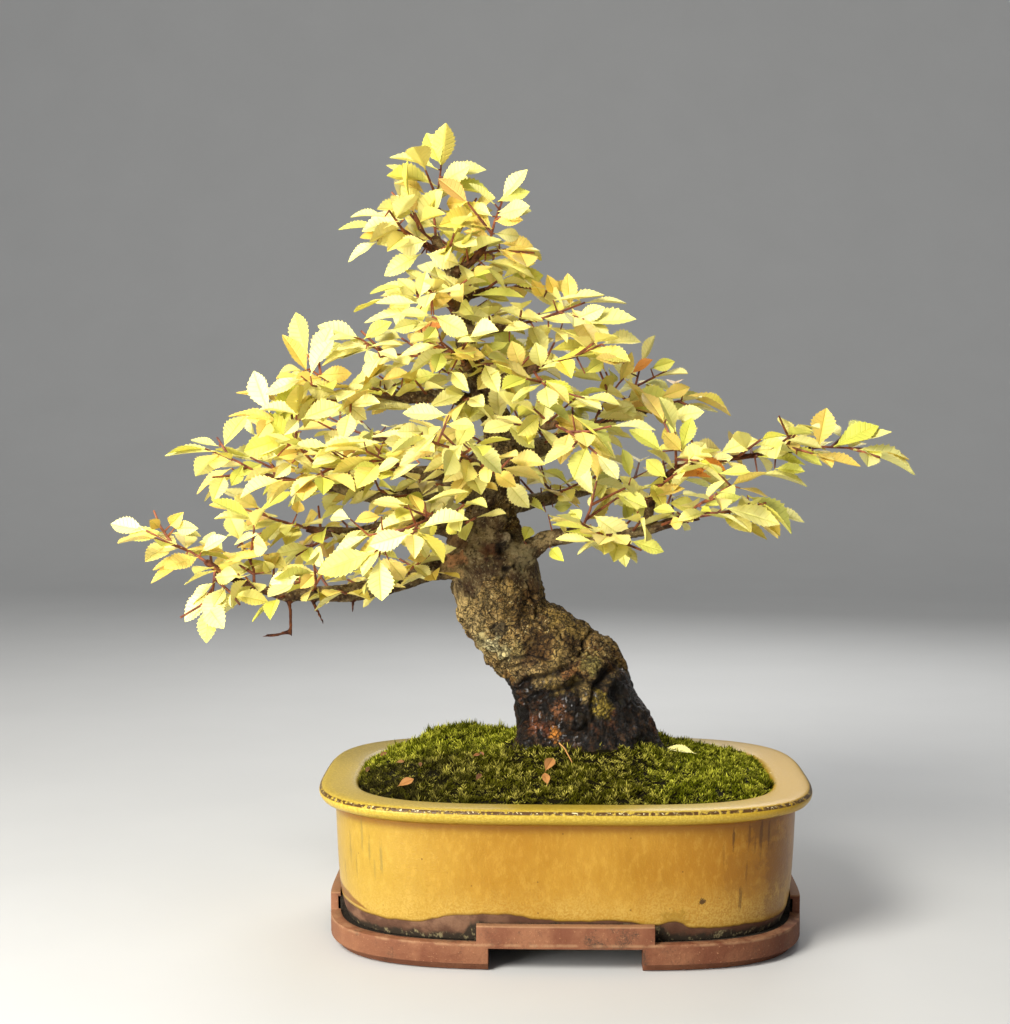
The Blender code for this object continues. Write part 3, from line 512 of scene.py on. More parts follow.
reach_values = pot_wall.data.attributes.new("reach", "FLOAT", "POINT").data
for vertex, value in zip(pot_wall.data.vertices, reach_values):
    where = measured(pot_wall.matrix_world @ vertex.co)
    value.value = plan_reach(where.x, where.y, 18)


# %% [markdown]
# ## The glaze
#
# The glaze is a runny honey yellow. It is thin and golden where it ran off the wall, thick and pale where it
# gathered in a band above its lower edge, and it stops in a wavy line with bare clay beneath. Along the lip's
# outer edge it broke to a brown line. Rain has drawn dark streaks down the corners, and there are small pits.
# Each of these is a mask, and the masks are laid over each other from the body colour outwards.

# %% Marks in the glaze
# Stains as seen: x and z, how far they reach, how strong they are, and the colour.
POOLS = (
    (46.0, -1.6, 6.0, 0.6, (138, 104, 22)), (57.7, 7.8, 1.5, 0.9, (60, 38, 14)),
    (90.0, 24.0, 14.0, 0.5, (112, 66, 12)), (84.0, 40.0, 9.0, 0.5, (104, 62, 14)),
    (88.0, 6.0, 10.0, 0.5, (118, 72, 12)), (74.0, 20.0, 10.0, 0.35, (128, 84, 20)),
)
# Streaks as seen: x and z of the middle, half width, how strong they are, and the colour.
STREAKS = (
    (-76.7, 25.0, 0.75, 0.5, (116, 104, 52)), (-81.7, 29.0, 0.65, 0.45, (112, 100, 48)),
    (-79.4, 21.0, 0.6, 0.35, (124, 108, 50)), (-84.8, 36.0, 0.8, 0.45, (118, 106, 54)),
    (-87.0, 22.0, 0.6, 0.4, (116, 98, 44)), (-89.5, 30.0, 0.8, 0.45, (116, 98, 44)),
    (-91.6, 20.0, 0.7, 0.4, (112, 94, 42)), (70.6, 35.0, 0.6, 0.7, (74, 44, 12)),
    (73.5, 8.5, 0.8, 0.6, (78, 50, 14)), (82.0, 36.0, 1.0, 0.6, (70, 40, 10)),
    (85.2, 38.0, 0.7, 0.55, (70, 40, 10)), (79.6, 33.0, 0.5, 0.4, (92, 56, 14)),
    (77.2, 37.0, 0.7, 0.55, (84, 50, 12)), (76.0, 20.0, 0.6, 0.4, (92, 58, 14)),
    (66.5, 28.0, 0.6, 0.3, (112, 74, 20)),
)
STREAK_STRETCH = 0.10


def with_stains(body, where, surface):
    """Lays the pools, and the streaks drawn out downwards, over the glaze where they are seen."""
    for x, z, radius, amount, colour in POOLS:
        body = stained(where, body, colour, seen_on(surface, x, z), radius, amount)
    drawn_out = millimetres(where.tree, (1, 1, STREAK_STRETCH))
    for x, z, radius, amount, colour in STREAKS:
        found = seen_on(surface, x, z)
        found.z *= STREAK_STRETCH
        body = stained(drawn_out, body, colour, found, radius, amount)
    return body


# %% The glaze's lower edge
# Round the pot: along its length, and how high the edge stands.
GLAZE_EDGE = (
    (-94, 18.6), (-87.6, 18.6), (-71, 16.9), (-59, 17.1), (-49.9, 19.1), (-40.7, 20.9), (-18.8, 21.1),
    (-11, 19.4), (5.9, 18.9), (22.4, 19.0), (34.3, 17.1), (40.7, 18.6), (49.8, 15.5), (66.3, 15.5),
    (84.5, 15.2), (94, 16.4),
)
CURVE_REACH = 100.0
CURVE_LOW = 10.0
CURVE_SPAN = 15.0


def edge_height(x):
    """The height of the glaze's edge at x, from a curve that is 0 to 1 both ways."""
    along = Wire(put(x.tree, "MapRange", {"Value": x, "From Min": -CURVE_REACH, "From Max": CURVE_REACH}))
    node = put(x.tree, "FloatCurve", {"Value": along})
    points = node.mapping.curves[0].points
    for here, height in GLAZE_EDGE:
        points.new((here + CURVE_REACH) / (2 * CURVE_REACH), (height - CURVE_LOW) / CURVE_SPAN)
    points[0].location = (0.0, (GLAZE_EDGE[0][1] - CURVE_LOW) / CURVE_SPAN)
    points[-1].location = (1.0, (GLAZE_EDGE[-1][1] - CURVE_LOW) / CURVE_SPAN)
    node.mapping.update()
    return Wire(node) * CURVE_SPAN + CURVE_LOW


# %% Colours of the wall and the clay
def wall_colour(where, x, z, stipple, mottle):
    """Honey yellow, paler to the left and in a low band, and greenish on the lip; painted shade makes it
    browner to the right, on the lip too, and a painted shadow band lies under the lip.
    """
    drawn_out = millimetres(where.tree, (1, 1, STREAK_STRETCH))
    body = blend(step_up(clouds(where, 30.0), 0.36, 0.66), (152, 108, 24), (164, 121, 36))
    body = blend(step_up(clouds(drawn_out, 2.2, 4.0), 0.46, 0.62) * 0.16, body, (158, 106, 20))
    body = blend(step_up(x, -20.0, -88.0) * 0.75, body, (168, 140, 50))
    # Painted shade: the wall darkens to brown towards the right end, away from the light.
    body = blend(step_up(x, 14.0, 78.0) * 0.75, body, (144, 92, 12))
    body = blend(step_up(mottle, 0.48, 0.66) * 0.14, body, (216, 176, 80))
    body = blend(step_up(mottle, 0.46, 0.32) * 0.14, body, (140, 92, 14))
    band = step_up(z + clouds(where, 16.0) * 20.0, 46.0, 25.0)
    body = blend(band * (step_up(stipple, 0.40, 0.60) * 0.5 + 0.3), body, (188, 155, 74))
    lip = blend(step_up(stipple, 0.38, 0.66), (174, 146, 48), (195, 168, 66))
    # Painted shade: the lip darkens towards the right end too.
    lip = blend(step_up(x, 40.0, 92.0) * 0.8, lip, (184, 142, 24))
    body = blend(step_up(z, 56.4, 57.8), body, lip)
    # Painted shadow: a darker band under the lip's overhang.
    return blend(bump_between(z, 52.5, 56.0, 57.6) * 0.75, body, (130, 80, 16))


def clay_colour(where, x, z, mottle):
    """The bare clay under the glaze, darker to the right of the corner and dirty above the foot belt."""
    clay = blend(step_up(clouds(where, 9.0, 4.0), 0.4, 0.62), (88, 60, 44), (122, 90, 68))
    clay = blend(step_up(x, -44.0, -10.0) * 0.75, clay, (74, 44, 28))
    depth = z + clouds(where, 4.0, 4.0) * 5.0 - step_up(abs(x), 40.0, 36.0) * 4.4
    clay = blend(step_up(depth, 17.0, 14.4), clay, (48, 39, 28))
    return blend(step_up(depth, 16.4, 15.0) * step_up(mottle, 0.54, 0.66), clay, (134, 122, 88))


# %% Glaze finish
def glaze_finish(surface):
    made, tree, shader, where = new_finish("honey_glaze")
    x, _, z = parts(where)
    stipple = clouds(where, 0.8, 2.0)
    mottle = clouds(millimetres(tree, (1, 1, 0.5)), 2.4, 4.0, 0.7)
    body = with_stains(wall_colour(where, x, z, stipple, mottle), where, surface)
    broken = step_up(clouds(where, 1.8, 4.0), 0.36, 0.50)
    rim = bump_between(z, 61.3, 62.4, 63.5) * step_up(attribute(tree, "reach"), 97.4, 98.2)
    rim = step_up(rim, 0.2, 0.7) * broken
    body = blend(rim, body, (80, 54, 22))
    # Painted highlights: pale glints just under the lip's brown edge line.
    painted_glints = step_up(clouds(where, 1.0, 2.0), 0.60, 0.70) * broken
    body = blend(painted_glints * bump_between(z, 61.6, 62.6, 63.4), body, (236, 222, 168))
    chance = parts(cells(where, 0.2, "Color"), "SeparateColor")[0]
    pits = step_up(cells(where, 0.2, "Distance"), 0.10, 0.04) * (chance > 0.75)
    body = blend(pits * 0.7, body, (96, 62, 18))
    wave = (clouds(where, 8.0) - 0.5) * 1.6
    above = z - (wave + edge_height(x))
    pool = step_up(above + (x + 94.0) * 0.36, 8.4, 7.2) * step_up(above, 1.0, 1.9)
    body = blend(pool * 0.9, body, (118, 74, 14))
    body = blend(step_up(above, 1.3, 0.2) * 0.8, body, (128, 96, 30))
    glazed = step_up(above, -0.25, 0.35)
    relief = glazed * 0.5 + (stipple * 0.34 - rim * 0.5)
    feed(shader, Base_Color=blend(glazed, clay_colour(where, x, z, mottle), body), Specular_IOR_Level=0.3,
         Roughness=between(glazed, 0.8, 0.34), Normal=bump(relief, 0.5, 0.7))
    return made


finish_piece(pot_wall, "pot_wall", "glazed_clay", [glaze_finish(surface_of(pot_wall))], "pot")


# %% [markdown]
# ## The foot belt
#
# A belt of bare clay goes round the pot's base and forms its feet. It stands a few millimetres off the
# wall, with a groove between them that has filled with dirt. It is low at the four corners, and raised over
# an arch in the middle of each side. The ring is extruded like the wall, then boxes cut the corners down
# and the arches out, and a small bevel softens the edges as wear would.

# %% Belt and the dirt in its groove
BELT_ROWS = (
    (84.2, 0.0), (92.0, 0.0), (93.0, 0.5), (93.2, 2.8), (95.6, 3.2), (95.6, 10.0), (95.6, 18.0),
    (91.8, 18.0), (91.6, 9.2), (84.2, 9.2), (84.2, 0.0),
)
GROOVE_ROWS = ((86.0, 8.4), (92.6, 8.4), (92.8, 16.4), (87.4, 16.6), (86.0, 8.4))
FAR = 120.0
# Half the length of the belt's raised parts, along x and along y.
RAISED = (34.0, 25.5)
# The arches' half widths along x and along y, and their height.
ARCH = (29.5, 21.0, 9.2)


def cutting_box(low, high):
    bpy.ops.object.select_all(action="DESELECT")
    middle = [(a + b) / 2 for a, b in zip(low, high)]
    size = [b - a for a, b in zip(low, high)]
    bpy.ops.mesh.primitive_cube_add(size=MM, location=place(*middle), scale=size)
    return bpy.context.object


def cut_corners(obj, low):
    """Takes away what stands higher than this at the four corners."""
    for side_x in (-1, 1):
        for side_y in (-1, 1):
            xs = sorted((side_x * RAISED[0], side_x * FAR))
            ys = sorted((side_y * RAISED[1], side_y * FAR))
            cut_away(obj, cutting_box((xs[0], ys[0], low), (xs[1], ys[1], 30)))


foot_belt = oval_body(BELT_ROWS)
cut_corners(foot_belt, 11.0)
cut_away(foot_belt, cutting_box((-ARCH[0], -FAR, -5), (ARCH[0], FAR, ARCH[2])))
cut_away(foot_belt, cutting_box((-FAR, -ARCH[1], -5), (FAR, ARCH[1], ARCH[2])))
apply_modifier(foot_belt, "BEVEL", width=0.55 * MM, segments=2, limit_method="ANGLE",
               angle_limit=math.radians(50))
smooth_up_to(foot_belt, 40)

groove_dirt = oval_body(GROOVE_ROWS)
cut_corners(groove_dirt, 10.3)


# %% [markdown]
# ## Bare clay, and dirt
#
# Unglazed stoneware fires to a warm red brown, stained where it was wet. The belt is lighter on its top
# edges, partly from wear and partly as painted highlight, with painted shade towards its right end and
# painted light towards its left. The dirt is nearly black soil with a few green grains of algae.

# %% Clay and dirt finishes
def clay_finish():
    made, _, shader, where = new_finish("bare_clay")
    x, _, z = parts(where)
    base = blend(step_up(clouds(where, 17.0, 4.0), 0.36, 0.64), (108, 62, 40), (134, 88, 60))
    # Painted shade: the belt darkens towards the right end.
    base = blend(step_up(x, 30.0, 92.0) * 0.6, base, (84, 40, 20))
    # Painted light: the belt is lighter towards the left end, where the light falls.
    base = blend(step_up(x, -50.0, -92.0) * 0.4, base, (150, 104, 72))
    base = grime(where, base, (70, 50, 36), 13.0, 0.5)
    base = blend(step_up(clouds(where, 0.8, 2.0), 0.64, 0.74) * 0.5, base, (176, 128, 92))
    # Partly wear and partly painted highlight: the top edges of the feet and of the raised belt are lighter.
    wear_and_highlight = bump_between(z, 9.6, 10.6, 11.6) * step_up(clouds(where, 6.0), 0.4, 0.6)
    base = blend(larger(wear_and_highlight, step_up(z, 17.2, 17.8)) * 0.5, base, (170, 132, 96))
    base = blend(step_up(z, 2.9, 1.0) * 0.6, base, (84, 44, 22))
    feed(shader, Base_Color=base, Roughness=0.72, Specular_IOR_Level=0.3,
         Normal=bump(clouds(where, 1.6, 4.0), 0.45, 0.6))
    return made


def dirt_finish():
    made, _, shader, where = new_finish("damp_dirt")
    base = grime(where, (44, 38, 30), (124, 112, 80), 2.0, 0.40)
    feed(shader, Base_Color=base, Roughness=0.9, Specular_IOR_Level=0.2,
         Normal=bump(clouds(where, 1.2, 4.0), 1.4))
    return made


finish_piece(foot_belt, "foot_belt", "glazed_clay", [clay_finish()], "pot")
finish_piece(groove_dirt, "groove_dirt", "soil", [dirt_finish()], "pot")


# %% [markdown]
# ## Soil and drain screens
#
# The soil is baked clay grain, and the screens over the drain holes are plastic mesh. Both are hidden by
# the moss and the pot, and their CAD shapes are right, so they stay and only get finishes.

# %% Finishes for the kept CAD nodes
def grain_finish():
    made, _, shader, where = new_finish("baked_grain")
    base = blend(cells(where, 0.3, "Color"), (96, 70, 48), (58, 42, 30))
    base = grime(where, base, (40, 32, 24), 10.0, 0.4)
    feed(shader, Base_Color=base, Roughness=0.95, Normal=bump(cells(where, 0.3, "Distance"), -1.5))
    return made


def screen_finish():
    made, _, shader, where = new_finish("screen_plastic")
    base = grime(where, (28, 28, 28), (84, 70, 54), 5.0, 0.4)
    feed(shader, Base_Color=base, Roughness=0.55, Normal=bump(clouds(where, 1.0), 0.2))
    return made


screen_plastic = screen_finish()
for node_name, finish in (("soil", grain_finish()), ("drain_mesh_left", screen_plastic),
                          ("drain_mesh_right", screen_plastic)):
    for material_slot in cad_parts[node_name].material_slots:
        material_slot.material = finish


# %% [markdown]
# ## Lines of growth
#
# Trunk, roots and branches are all tapered tubes along smooth lines. The lines are the CAD model's own. The
# trunk's and the roots' rows are x, y, z and radius. A branch's points are where the front view shows them,
# x and z, with how far behind the middle plane they really are, and `at_depth` slides them along the line
# of sight.

# %% Trunk, roots and branches as tables
TRUNK = (
    (10, 0, 40, 26), (9.5, 0, 56, 27.5), (8.5, 0, 72, 29), (5, 0, 88, 26.2), (2, 0, 98, 25.2),
    (-3.5, -1, 107, 22.8), (-11.5, -2, 114.5, 19.8), (-19.5, -2, 121, 17.8), (-24.5, -2, 128.5, 18.2),
    (-27, -2, 137, 18.6), (-28.5, -1, 145.5, 18.6), (-30.5, -1, 153.5, 18.2), (-31.5, 0, 161, 16.2),
    (-30, 1, 168, 12), (-28, 2, 176, 8),
)
TRUNK_STEP = 7.0
ROOTS = (
    ((20, -4, 92, 9), (31, -6, 80, 7.5), (39, -6, 67, 5), (44, -5, 56, 3)),
    ((16, 12, 92, 9), (27, 20, 78, 7), (34, 27, 66, 5), (38, 31, 56, 3)),
    ((-4, 14, 90, 9), (-12, 24, 77, 7), (-18, 32, 66, 5), (-22, 37, 56, 3)),
    ((-8, -8, 90, 9), (-14, -14, 78, 7), (-19, -18, 66, 4.6), (-22, -21, 56, 3)),
    ((8, -12, 88, 9), (11, -20, 77, 7), (13, -27, 65, 5), (14, -31, 56, 3)),
)
BRANCHES = (
    ("leader", 9.0, 0.8, ((-29, 168, 1), (-26.5, 182, 2), (-26, 196, 3), (-28, 208, 4), (-33, 220, 4),
        (-38, 232, 3), (-42, 245, 2), (-43, 258, 1), (-47, 270, 0), (-53, 282, 0), (-54, 294, 0),
        (-52, 304, 0), (-51, 311, 0))),
    ("low_left", 5.0, 0.9, ((-34, 149, -4), (-56, 147, -10), (-74, 140, -16), (-92, 137, -21),
        (-106, 137, -25), (-116, 136, -27), (-128, 139, -28), (-140, 144, -28), (-155, 154, -27),
        (-174, 163, -26))),
    ("inner_left", 4.6, 0.9, ((-34, 161, 2), (-54, 166, 3), (-72, 165, 7), (-88, 162, 10), (-103, 163, 9),
        (-118, 167, 6), (-133, 172, 3))),
    ("middle_left", 4.4, 0.9, ((-28, 176, 3), (-45, 182, 8), (-62, 178, 12), (-80, 177, 14), (-97, 182, 12),
        (-113, 183, 9), (-125, 186, 6), (-136, 192, 4), (-149, 197, 2))),
    ("upper_left", 4.0, 0.9, ((-27, 190, 2), (-46, 187, -8), (-62, 187, -16), (-80, 191, -21),
        (-98, 190, -24), (-110, 193, -25), (-116, 202, -25), (-122, 212, -25))),
    ("top_left", 3.6, 0.8, ((-31, 214, 3), (-48, 219, -3), (-65, 218, -8), (-82, 221, -10), (-97, 224, -11),
        (-104, 229, -11), (-106, 236, -11))),
    ("crown_left", 2.8, 0.8, ((-38, 232, 2), (-52, 236, -5), (-65, 235, -9), (-76, 237, -11),
        (-84, 242, -11))),
    ("apex_left", 1.9, 0.7, ((-50, 276, 0), (-58, 281, -6), (-67, 286, -9), (-76, 288, -10))),
    ("apex_right", 2.0, 0.7, ((-47, 268, 0), (-38, 274, -4), (-31, 282, -6), (-29, 290, -6),
        (-26, 298, -6))),
    ("low_right", 4.4, 0.9, ((-20, 150, -6), (-8, 160, -14), (6, 162, -19), (21, 161, -23), (35, 164, -26),
        (47, 168, -27), (60, 170, -28), (72, 172, -28), (83, 172, -27))),
    ("long_right", 2.2, 0.8, ((33, 163, -25), (35, 173, -19), (38, 183, -14), (46, 189, -10), (58, 192, -8),
        (74, 194, -6), (90, 196, -4), (106, 198, -3), (128, 197, -2))),
    ("back_right", 4.8, 0.9, ((-24, 193, 4), (-7, 199, 25), (6, 204, 38), (18, 208, 50), (25, 215, 57),
        (29, 224, 62), (31, 232, 64))),
    ("back_right_side", 2.4, 0.8, ((22, 210, 53), (33, 213, 56), (43, 216, 58), (53, 218, 58))),
    ("upper_right", 2.8, 0.8, ((-34, 221, 3), (-23, 227, -11), (-9, 231, -18), (4, 235, -20),
        (15, 240, -20))),
    ("crown_right", 2.4, 0.7, ((-41, 245, 1), (-25, 247, -8), (-11, 250, -12), (0, 254, -13),
        (8, 257, -13))),
    ("crown_back", 2.1, 0.7, ((-43, 259, 1), (-32, 262, 8), (-21, 263, 12), (-10, 264, 14))),
    ("front_low", 4.0, 0.8, ((-36, 160, -8), (-46, 167, -26), (-56, 168, -42), (-66, 164, -52),
        (-76, 157, -58))),
    ("front_middle", 3.4, 0.8, ((-28, 178, 0), (-33, 186, -20), (-39, 192, -36), (-46, 197, -48),
        (-55, 200, -56))),
    ("front_right", 3.2, 0.8, ((-25, 200, 3), (-14, 206, -15), (-4, 207, -30), (5, 202, -42),
        (13, 195, -50))),
    ("front_top", 2.8, 0.8, ((-36, 226, 2), (-40, 231, -14), (-45, 236, -26), (-51, 241, -36))),
    ("front_crown", 2.2, 0.7, ((-43, 254, 1), (-48, 258, -12), (-56, 262, -20), (-65, 264, -25))),
    ("back_low", 5.0, 0.9, ((-31, 163, 6), (-37, 171, 30), (-42, 178, 50), (-44, 186, 66), (-40, 195, 80))),
    ("back_left", 4.2, 0.9, ((-28, 186, 4), (-48, 193, 26), (-68, 199, 42), (-86, 204, 54),
        (-101, 212, 62))),
    ("back_low_right", 3.8, 0.9, ((-24, 173, 4), (-6, 177, 28), (10, 180, 46), (28, 185, 60),
        (43, 192, 68))),
    ("back_upper", 3.0, 0.8, ((-31, 214, 5), (-30, 223, 24), (-26, 231, 40), (-20, 238, 54))),
    ("back_crown", 2.3, 0.7, ((-42, 244, 2), (-45, 252, 17), (-50, 260, 28), (-54, 268, 37))),
)
BRANCH_STEP = 17.0
DEAD_TWIGS = (
    ((-115, 136, -27), (-114, 129, -29), (-114, 119, -30)),
    ((-114, 121, -30), (-120, 119.5, -31), (-126, 119, -32)),
    ((-106, 137, -25), (-103, 130, -27), (-100, 124, -28)),
    ((-86, 139, -19), (-88, 133, -22), (-88, 129, -24)),
)


# %% Smooth lines
def smooth_line(rows, step):
    """Points about a step apart on a smooth curve through the rows, with all their values carried along."""
    rows = [tuple(float(v) for v in row) for row in rows]
    padded = [rows[0], *rows, rows[-1]]
    line = []
    for i in range(len(rows) - 1):
        p0, p1, p2, p3 = padded[i:i + 4]
        cuts = max(1, round((Vector(p2[:3]) - Vector(p1[:3])).length / step))
        for k in range(cuts):
            t = k / cuts
            line.append(tuple(
                0.5 * (2 * b + (c - a) * t + (2 * a - 5 * b + 4 * c - d) * t * t
                       + (3 * b - a - 3 * c + d) * t ** 3)
                for a, b, c, d in zip(p0, p1, p2, p3)))
    line.append(rows[-1])
    return line


def at_depth(seen):
    """The real place of a point that is seen at x and z and lies this far behind the pot's middle."""
    x, z, y = seen
    reach = (y - EYE.y) / -EYE.y
    return Vector((EYE.x + (x - EYE.x) * reach, y, EYE.z + (z - EYE.z) * reach))


def as_seen(point):
    """Where a point is seen, read at the pot's middle depth."""
    reach = -EYE.y / (point.y - EYE.y)
    return EYE.x + (point.x - EYE.x) * reach, EYE.z + (point.z - EYE.z) * reach


def branch_line(start_radius, end_radius, seen_points):
    """The branch's smooth line, its radius falling quickly at first and then evenly."""
    points = [at_depth(p) for p in seen_points]
    last = len(points) - 1
    fall = start_radius - end_radius
    rows = [(*p, end_radius + fall * (1 - i / last) ** 1.3) for i, p in enumerate(points)]
    return smooth_line(rows, BRANCH_STEP)


# %% Measuring along a line
YOUNG_LENGTH = 27.0
YOUNG_SHARE = 0.5


def line_length(line):
    return sum((Vector(b[:3]) - Vector(a[:3])).length for a, b in zip(line, line[1:]))


def point_along(line, distance):
    """The row at a distance along a line, and the index of the row after it."""
    for i, (a, b) in enumerate(zip(line, line[1:])):
        span = (Vector(b[:3]) - Vector(a[:3])).length
        if distance <= span or i == len(line) - 2:
            share = min(1.0, distance / span)
            return tuple(p + (q - p) * share for p, q in zip(a, b)), i + 1
        distance -= span


def heading(line, after):
    """Which way a line runs as it comes to the row with this index."""
    return (Vector(line[after][:3]) - Vector(line[after - 1][:3])).normalized()


def evenly(line, step):
    """Rows about a step apart along a line."""
    length = line_length(line)
    count = max(1, round(length / step))
    return [point_along(line, length * i / count)[0] for i in range(count + 1)]


def split_young(line):
    """The wood of a branch's line, and the young shoot that is its last stretch."""
    length = line_length(line)
    row, after = point_along(line, length - min(YOUNG_LENGTH, YOUNG_SHARE * length))
    return [*line[:after], row], [row, *line[after:]]


branch_lines = {name: branch_line(*row) for name, *row in BRANCHES}
in_all = round(sum(map(line_length, branch_lines.values())))
print(len(branch_lines), "branches,", in_all, "mm of them in all")


# %% [markdown]
# ## The wood as one grown skin
#
# Each line becomes a curve with a round bevel, whose points carry the radius. Turned into meshes, these
# tubes pass through each other. A voxel remesh then melts them into one skin, with a soft collar at each
# fork as living wood has. The hard part of the real trunk is its scars: knobs where old branches were taken
# off. They are small balls added before the remesh.

# %% Tubes
def tubes(name, lines, roundness, thinner=1.0):
    """One mesh of closed tubes along lines of (x, y, z, radius) in millimetres."""
    curve = bpy.data.curves.new(name, "CURVE")
    curve.dimensions = "3D"
    curve.bevel_depth = MM
    curve.bevel_resolution = roundness
    curve.use_fill_caps = True
    for line in lines:
        spline = curve.splines.new("POLY")
        spline.points.add(len(line) - 1)
        for point, (x, y, z, radius) in zip(spline.points, line):
            point.co = (*place(x, y, z), 1.0)
            point.radius = thinner * radius
    pick_only(new_object(name, curve))
    bpy.ops.object.convert(target="MESH")
    edit((bpy.ops.mesh.remove_doubles, {"threshold": 0.001 * MM}),
         (bpy.ops.mesh.normals_make_consistent, {"inside": False}))
    return bpy.context.object


# %% The wood and its knobs
# Knobs and scars: x and z as seen, then the depth, and the radius.
KNOBS = (
    (-46.0, 151.5, -11, 4.6), (-45.6, 158.5, -12, 4.0), (-38.7, 154.5, -16, 3.6), (-36, 160, -15, 3.4),
    (-41.5, 163, -10, 4.0), (-24.4, 160.6, -15, 2.6), (-28, 168, -13, 4.2), (-30, 162.5, -14, 3.4),
    (-34.5, 170, -12, 4.4), (-22.3, 147.9, -16, 3.4), (-15.5, 152, -13, 4.0), (-20.5, 155, -14, 3.0),
    (-38, 166, 10, 5.0), (-21, 178, 9, 4.0), (-30, 186, -8, 3.4), (-23, 192, -5, 3.2), (-30, 205, 4, 3.2),
    (-36, 219, -2, 2.8), (-40, 232, 3, 2.6), (-8, 130, 17, 4.4), (-44, 140, 4, 4.0), (-16, 108, 14, 4.6),
    (-18.2, 153.6, -14, 4.6), (-22.5, 147.3, -15, 3.8), (-14.5, 157.3, -14, 4.4), (-10, 160, -14, 3.6),
    (-17, 147, -10, 3.6), (-40, 148, -14, 3.2), (-44.5, 145, -8, 3.4), (12, 107.5, -17, 4.8),
    (20, 103.5, -7, 6.0), (27, 78, -16, 4.8), (4, 84, -26, 4.0), (-14, 92, -14, 3.6), (2, 103.5, -22, 3.4),
    (12, 98, 14, 5.2), (-34, 133, 13, 3.6), (-20, 146, 14, 4.2),
)
THICK_STEP = 4.0
BRANCH_THICKER = 0.12
DEAD_TWIG_RADIUS = 1.0
VOXEL = 0.88

wood_lines = [smooth_line(rows, THICK_STEP) for rows in (TRUNK, *ROOTS)]
wood_lines += [[(x, y, z, r + BRANCH_THICKER) for x, y, z, r in split_young(line)[0]]
               for line in branch_lines.values()]
wood_lines += [[(*at_depth(seen), DEAD_TWIG_RADIUS * (1 - 0.2 * i)) for i, seen in enumerate(rows)]
               for rows in DEAD_TWIGS]
wood = tubes("wood", wood_lines, 6)
for x, z, y, radius in KNOBS:
    bpy.ops.object.select_all(action="DESELECT")
    bpy.ops.mesh.primitive_ico_sphere_add(subdivisions=2, radius=radius * MM,
                                          location=place(*at_depth((x, z, y))))
    knob = bpy.context.object
    pick_only(wood)
    knob.select_set(True)
    bpy.ops.object.join()
# Whatever has to stay clear of the wood is held against these plain tubes.
wood_tree = surface_of(wood)
apply_modifier(wood, "REMESH", mode="VOXEL", voxel_size=VOXEL * MM)
apply_modifier(wood, "SMOOTH", factor=0.5, iterations=1)
print("wood:", len(wood.data.vertices), "vertices")


# %% [markdown]
# ## Marks on the trunk
#
# The trunk is the oldest and best known part of a bonsai, so its own scars are worth copying: the long
# cracks, the hollows of old wounds, and patches of lichen and rust. The pale patches down the left flank are
# partly painted light, and the near-black ones in the deepest hollows and crack are painted shade. They are
# written down as they are seen, and a ray from the eye to the wood finds where each lies. Painting them in
# the material would need a node for each. Here they are cut into the mesh and painted on its vertices, which
# costs nothing when the picture is made.

# %% Marks as seen
# Cracks: half width, depth, and the points of the line.
CRACKS = (
    (0.9, 1.5, ((-40.6, 137.6), (-40.4, 135.6), (-41.3, 133.2), (-39.8, 130.0))),
    (1.1, 1.8, ((11.0, 121.4), (8.7, 117.8), (9.3, 115.4), (6.5, 111.5))),
    (1.3, 2.4, ((10.6, 121.4), (15.9, 117.1), (20.6, 112.5), (24.0, 107.5))),
    (1.4, 2.4, ((2.1, 107.7), (-0.5, 105.7), (-5.2, 103.7), (-10.5, 102.0), (-16.0, 100.4), (-20.0, 97.5))),
    (1.0, 1.8, ((2.1, 107.7), (5.4, 104.4), (8.7, 101.1))),
    (1.4, 2.6, ((15.0, 99.5), (8.7, 101.1), (2.8, 98.0), (-2.5, 96.7), (-7.8, 95.0), (-13.1, 94.3),
        (-17.0, 91.0))),
    (1.0, 1.8, ((-28.4, 106.9), (-24.4, 109.6), (-20.4, 110.3), (-15.1, 110.7), (-9.8, 110.7),
        (-5.0, 108.5))),
    (0.9, 1.5, ((-23.7, 105.6), (-19.1, 107.0), (-16.4, 109.0), (-11.1, 108.0))),
    (1.2, 2.2, ((-28.0, 107.6), (-28.4, 104.3), (-27.4, 102.0), (-23.0, 99.5))),
    (0.7, 1.1, ((-30.3, 126.9), (-29.0, 124.3), (-30.3, 121.6), (-27.5, 119.0))),
    (0.8, 1.2, ((-39.6, 120.9), (-35.6, 118.3), (-31.0, 115.6), (-27.7, 113.6), (-22.0, 113.0))),
    (0.8, 1.3, ((-15.0, 142.0), (-13.5, 136.0), (-11.0, 131.0), (-11.5, 126.0), (-7.5, 121.5))),
    (1.6, 2.6, ((19.0, 106.0), (17.3, 103.5), (14.7, 100.4), (12.0, 97.5))),
    (0.9, 1.6, ((5.5, 97.0), (6.5, 92.0), (4.0, 87.5), (5.0, 82.0))),
    (1.0, 1.8, ((12.0, 96.0), (11.0, 90.0), (12.5, 84.0))),
    (1.0, 1.8, ((-14.0, 94.0), (-16.5, 88.0), (-15.0, 81.0))),
    (0.9, 1.5, ((-8.5, 93.0), (-9.5, 86.0), (-6.0, 79.0))),
)
# Hollows, or with a depth below 0 bulges: the point, how far it reaches, and its depth.
HOLLOWS = (
    (-24.4, 147.4, 2.4, 3.0), (-20.3, 148.6, 2.2, 2.8), (-26.0, 155.9, 4.0, 3.6), (-21.8, 161.7, 2.8, 3.0),
    (-31.4, 155.2, 3.6, 2.0), (-10.5, 114.5, 9.0, 2.6), (-1.0, 127.0, 9.0, -1.3), (2.1, 103.7, 3.6, -1.0),
    (22.0, 96.0, 6.0, 3.0), (-21.7, 89.6, 4.5, 1.8), (6.0, 93.0, 5.0, 1.6), (-29.7, 116.5, 5.0, -0.7),
    (-17.1, 143.0, 4.0, 1.6), (16.0, 90.4, 5.0, -1.4),
)
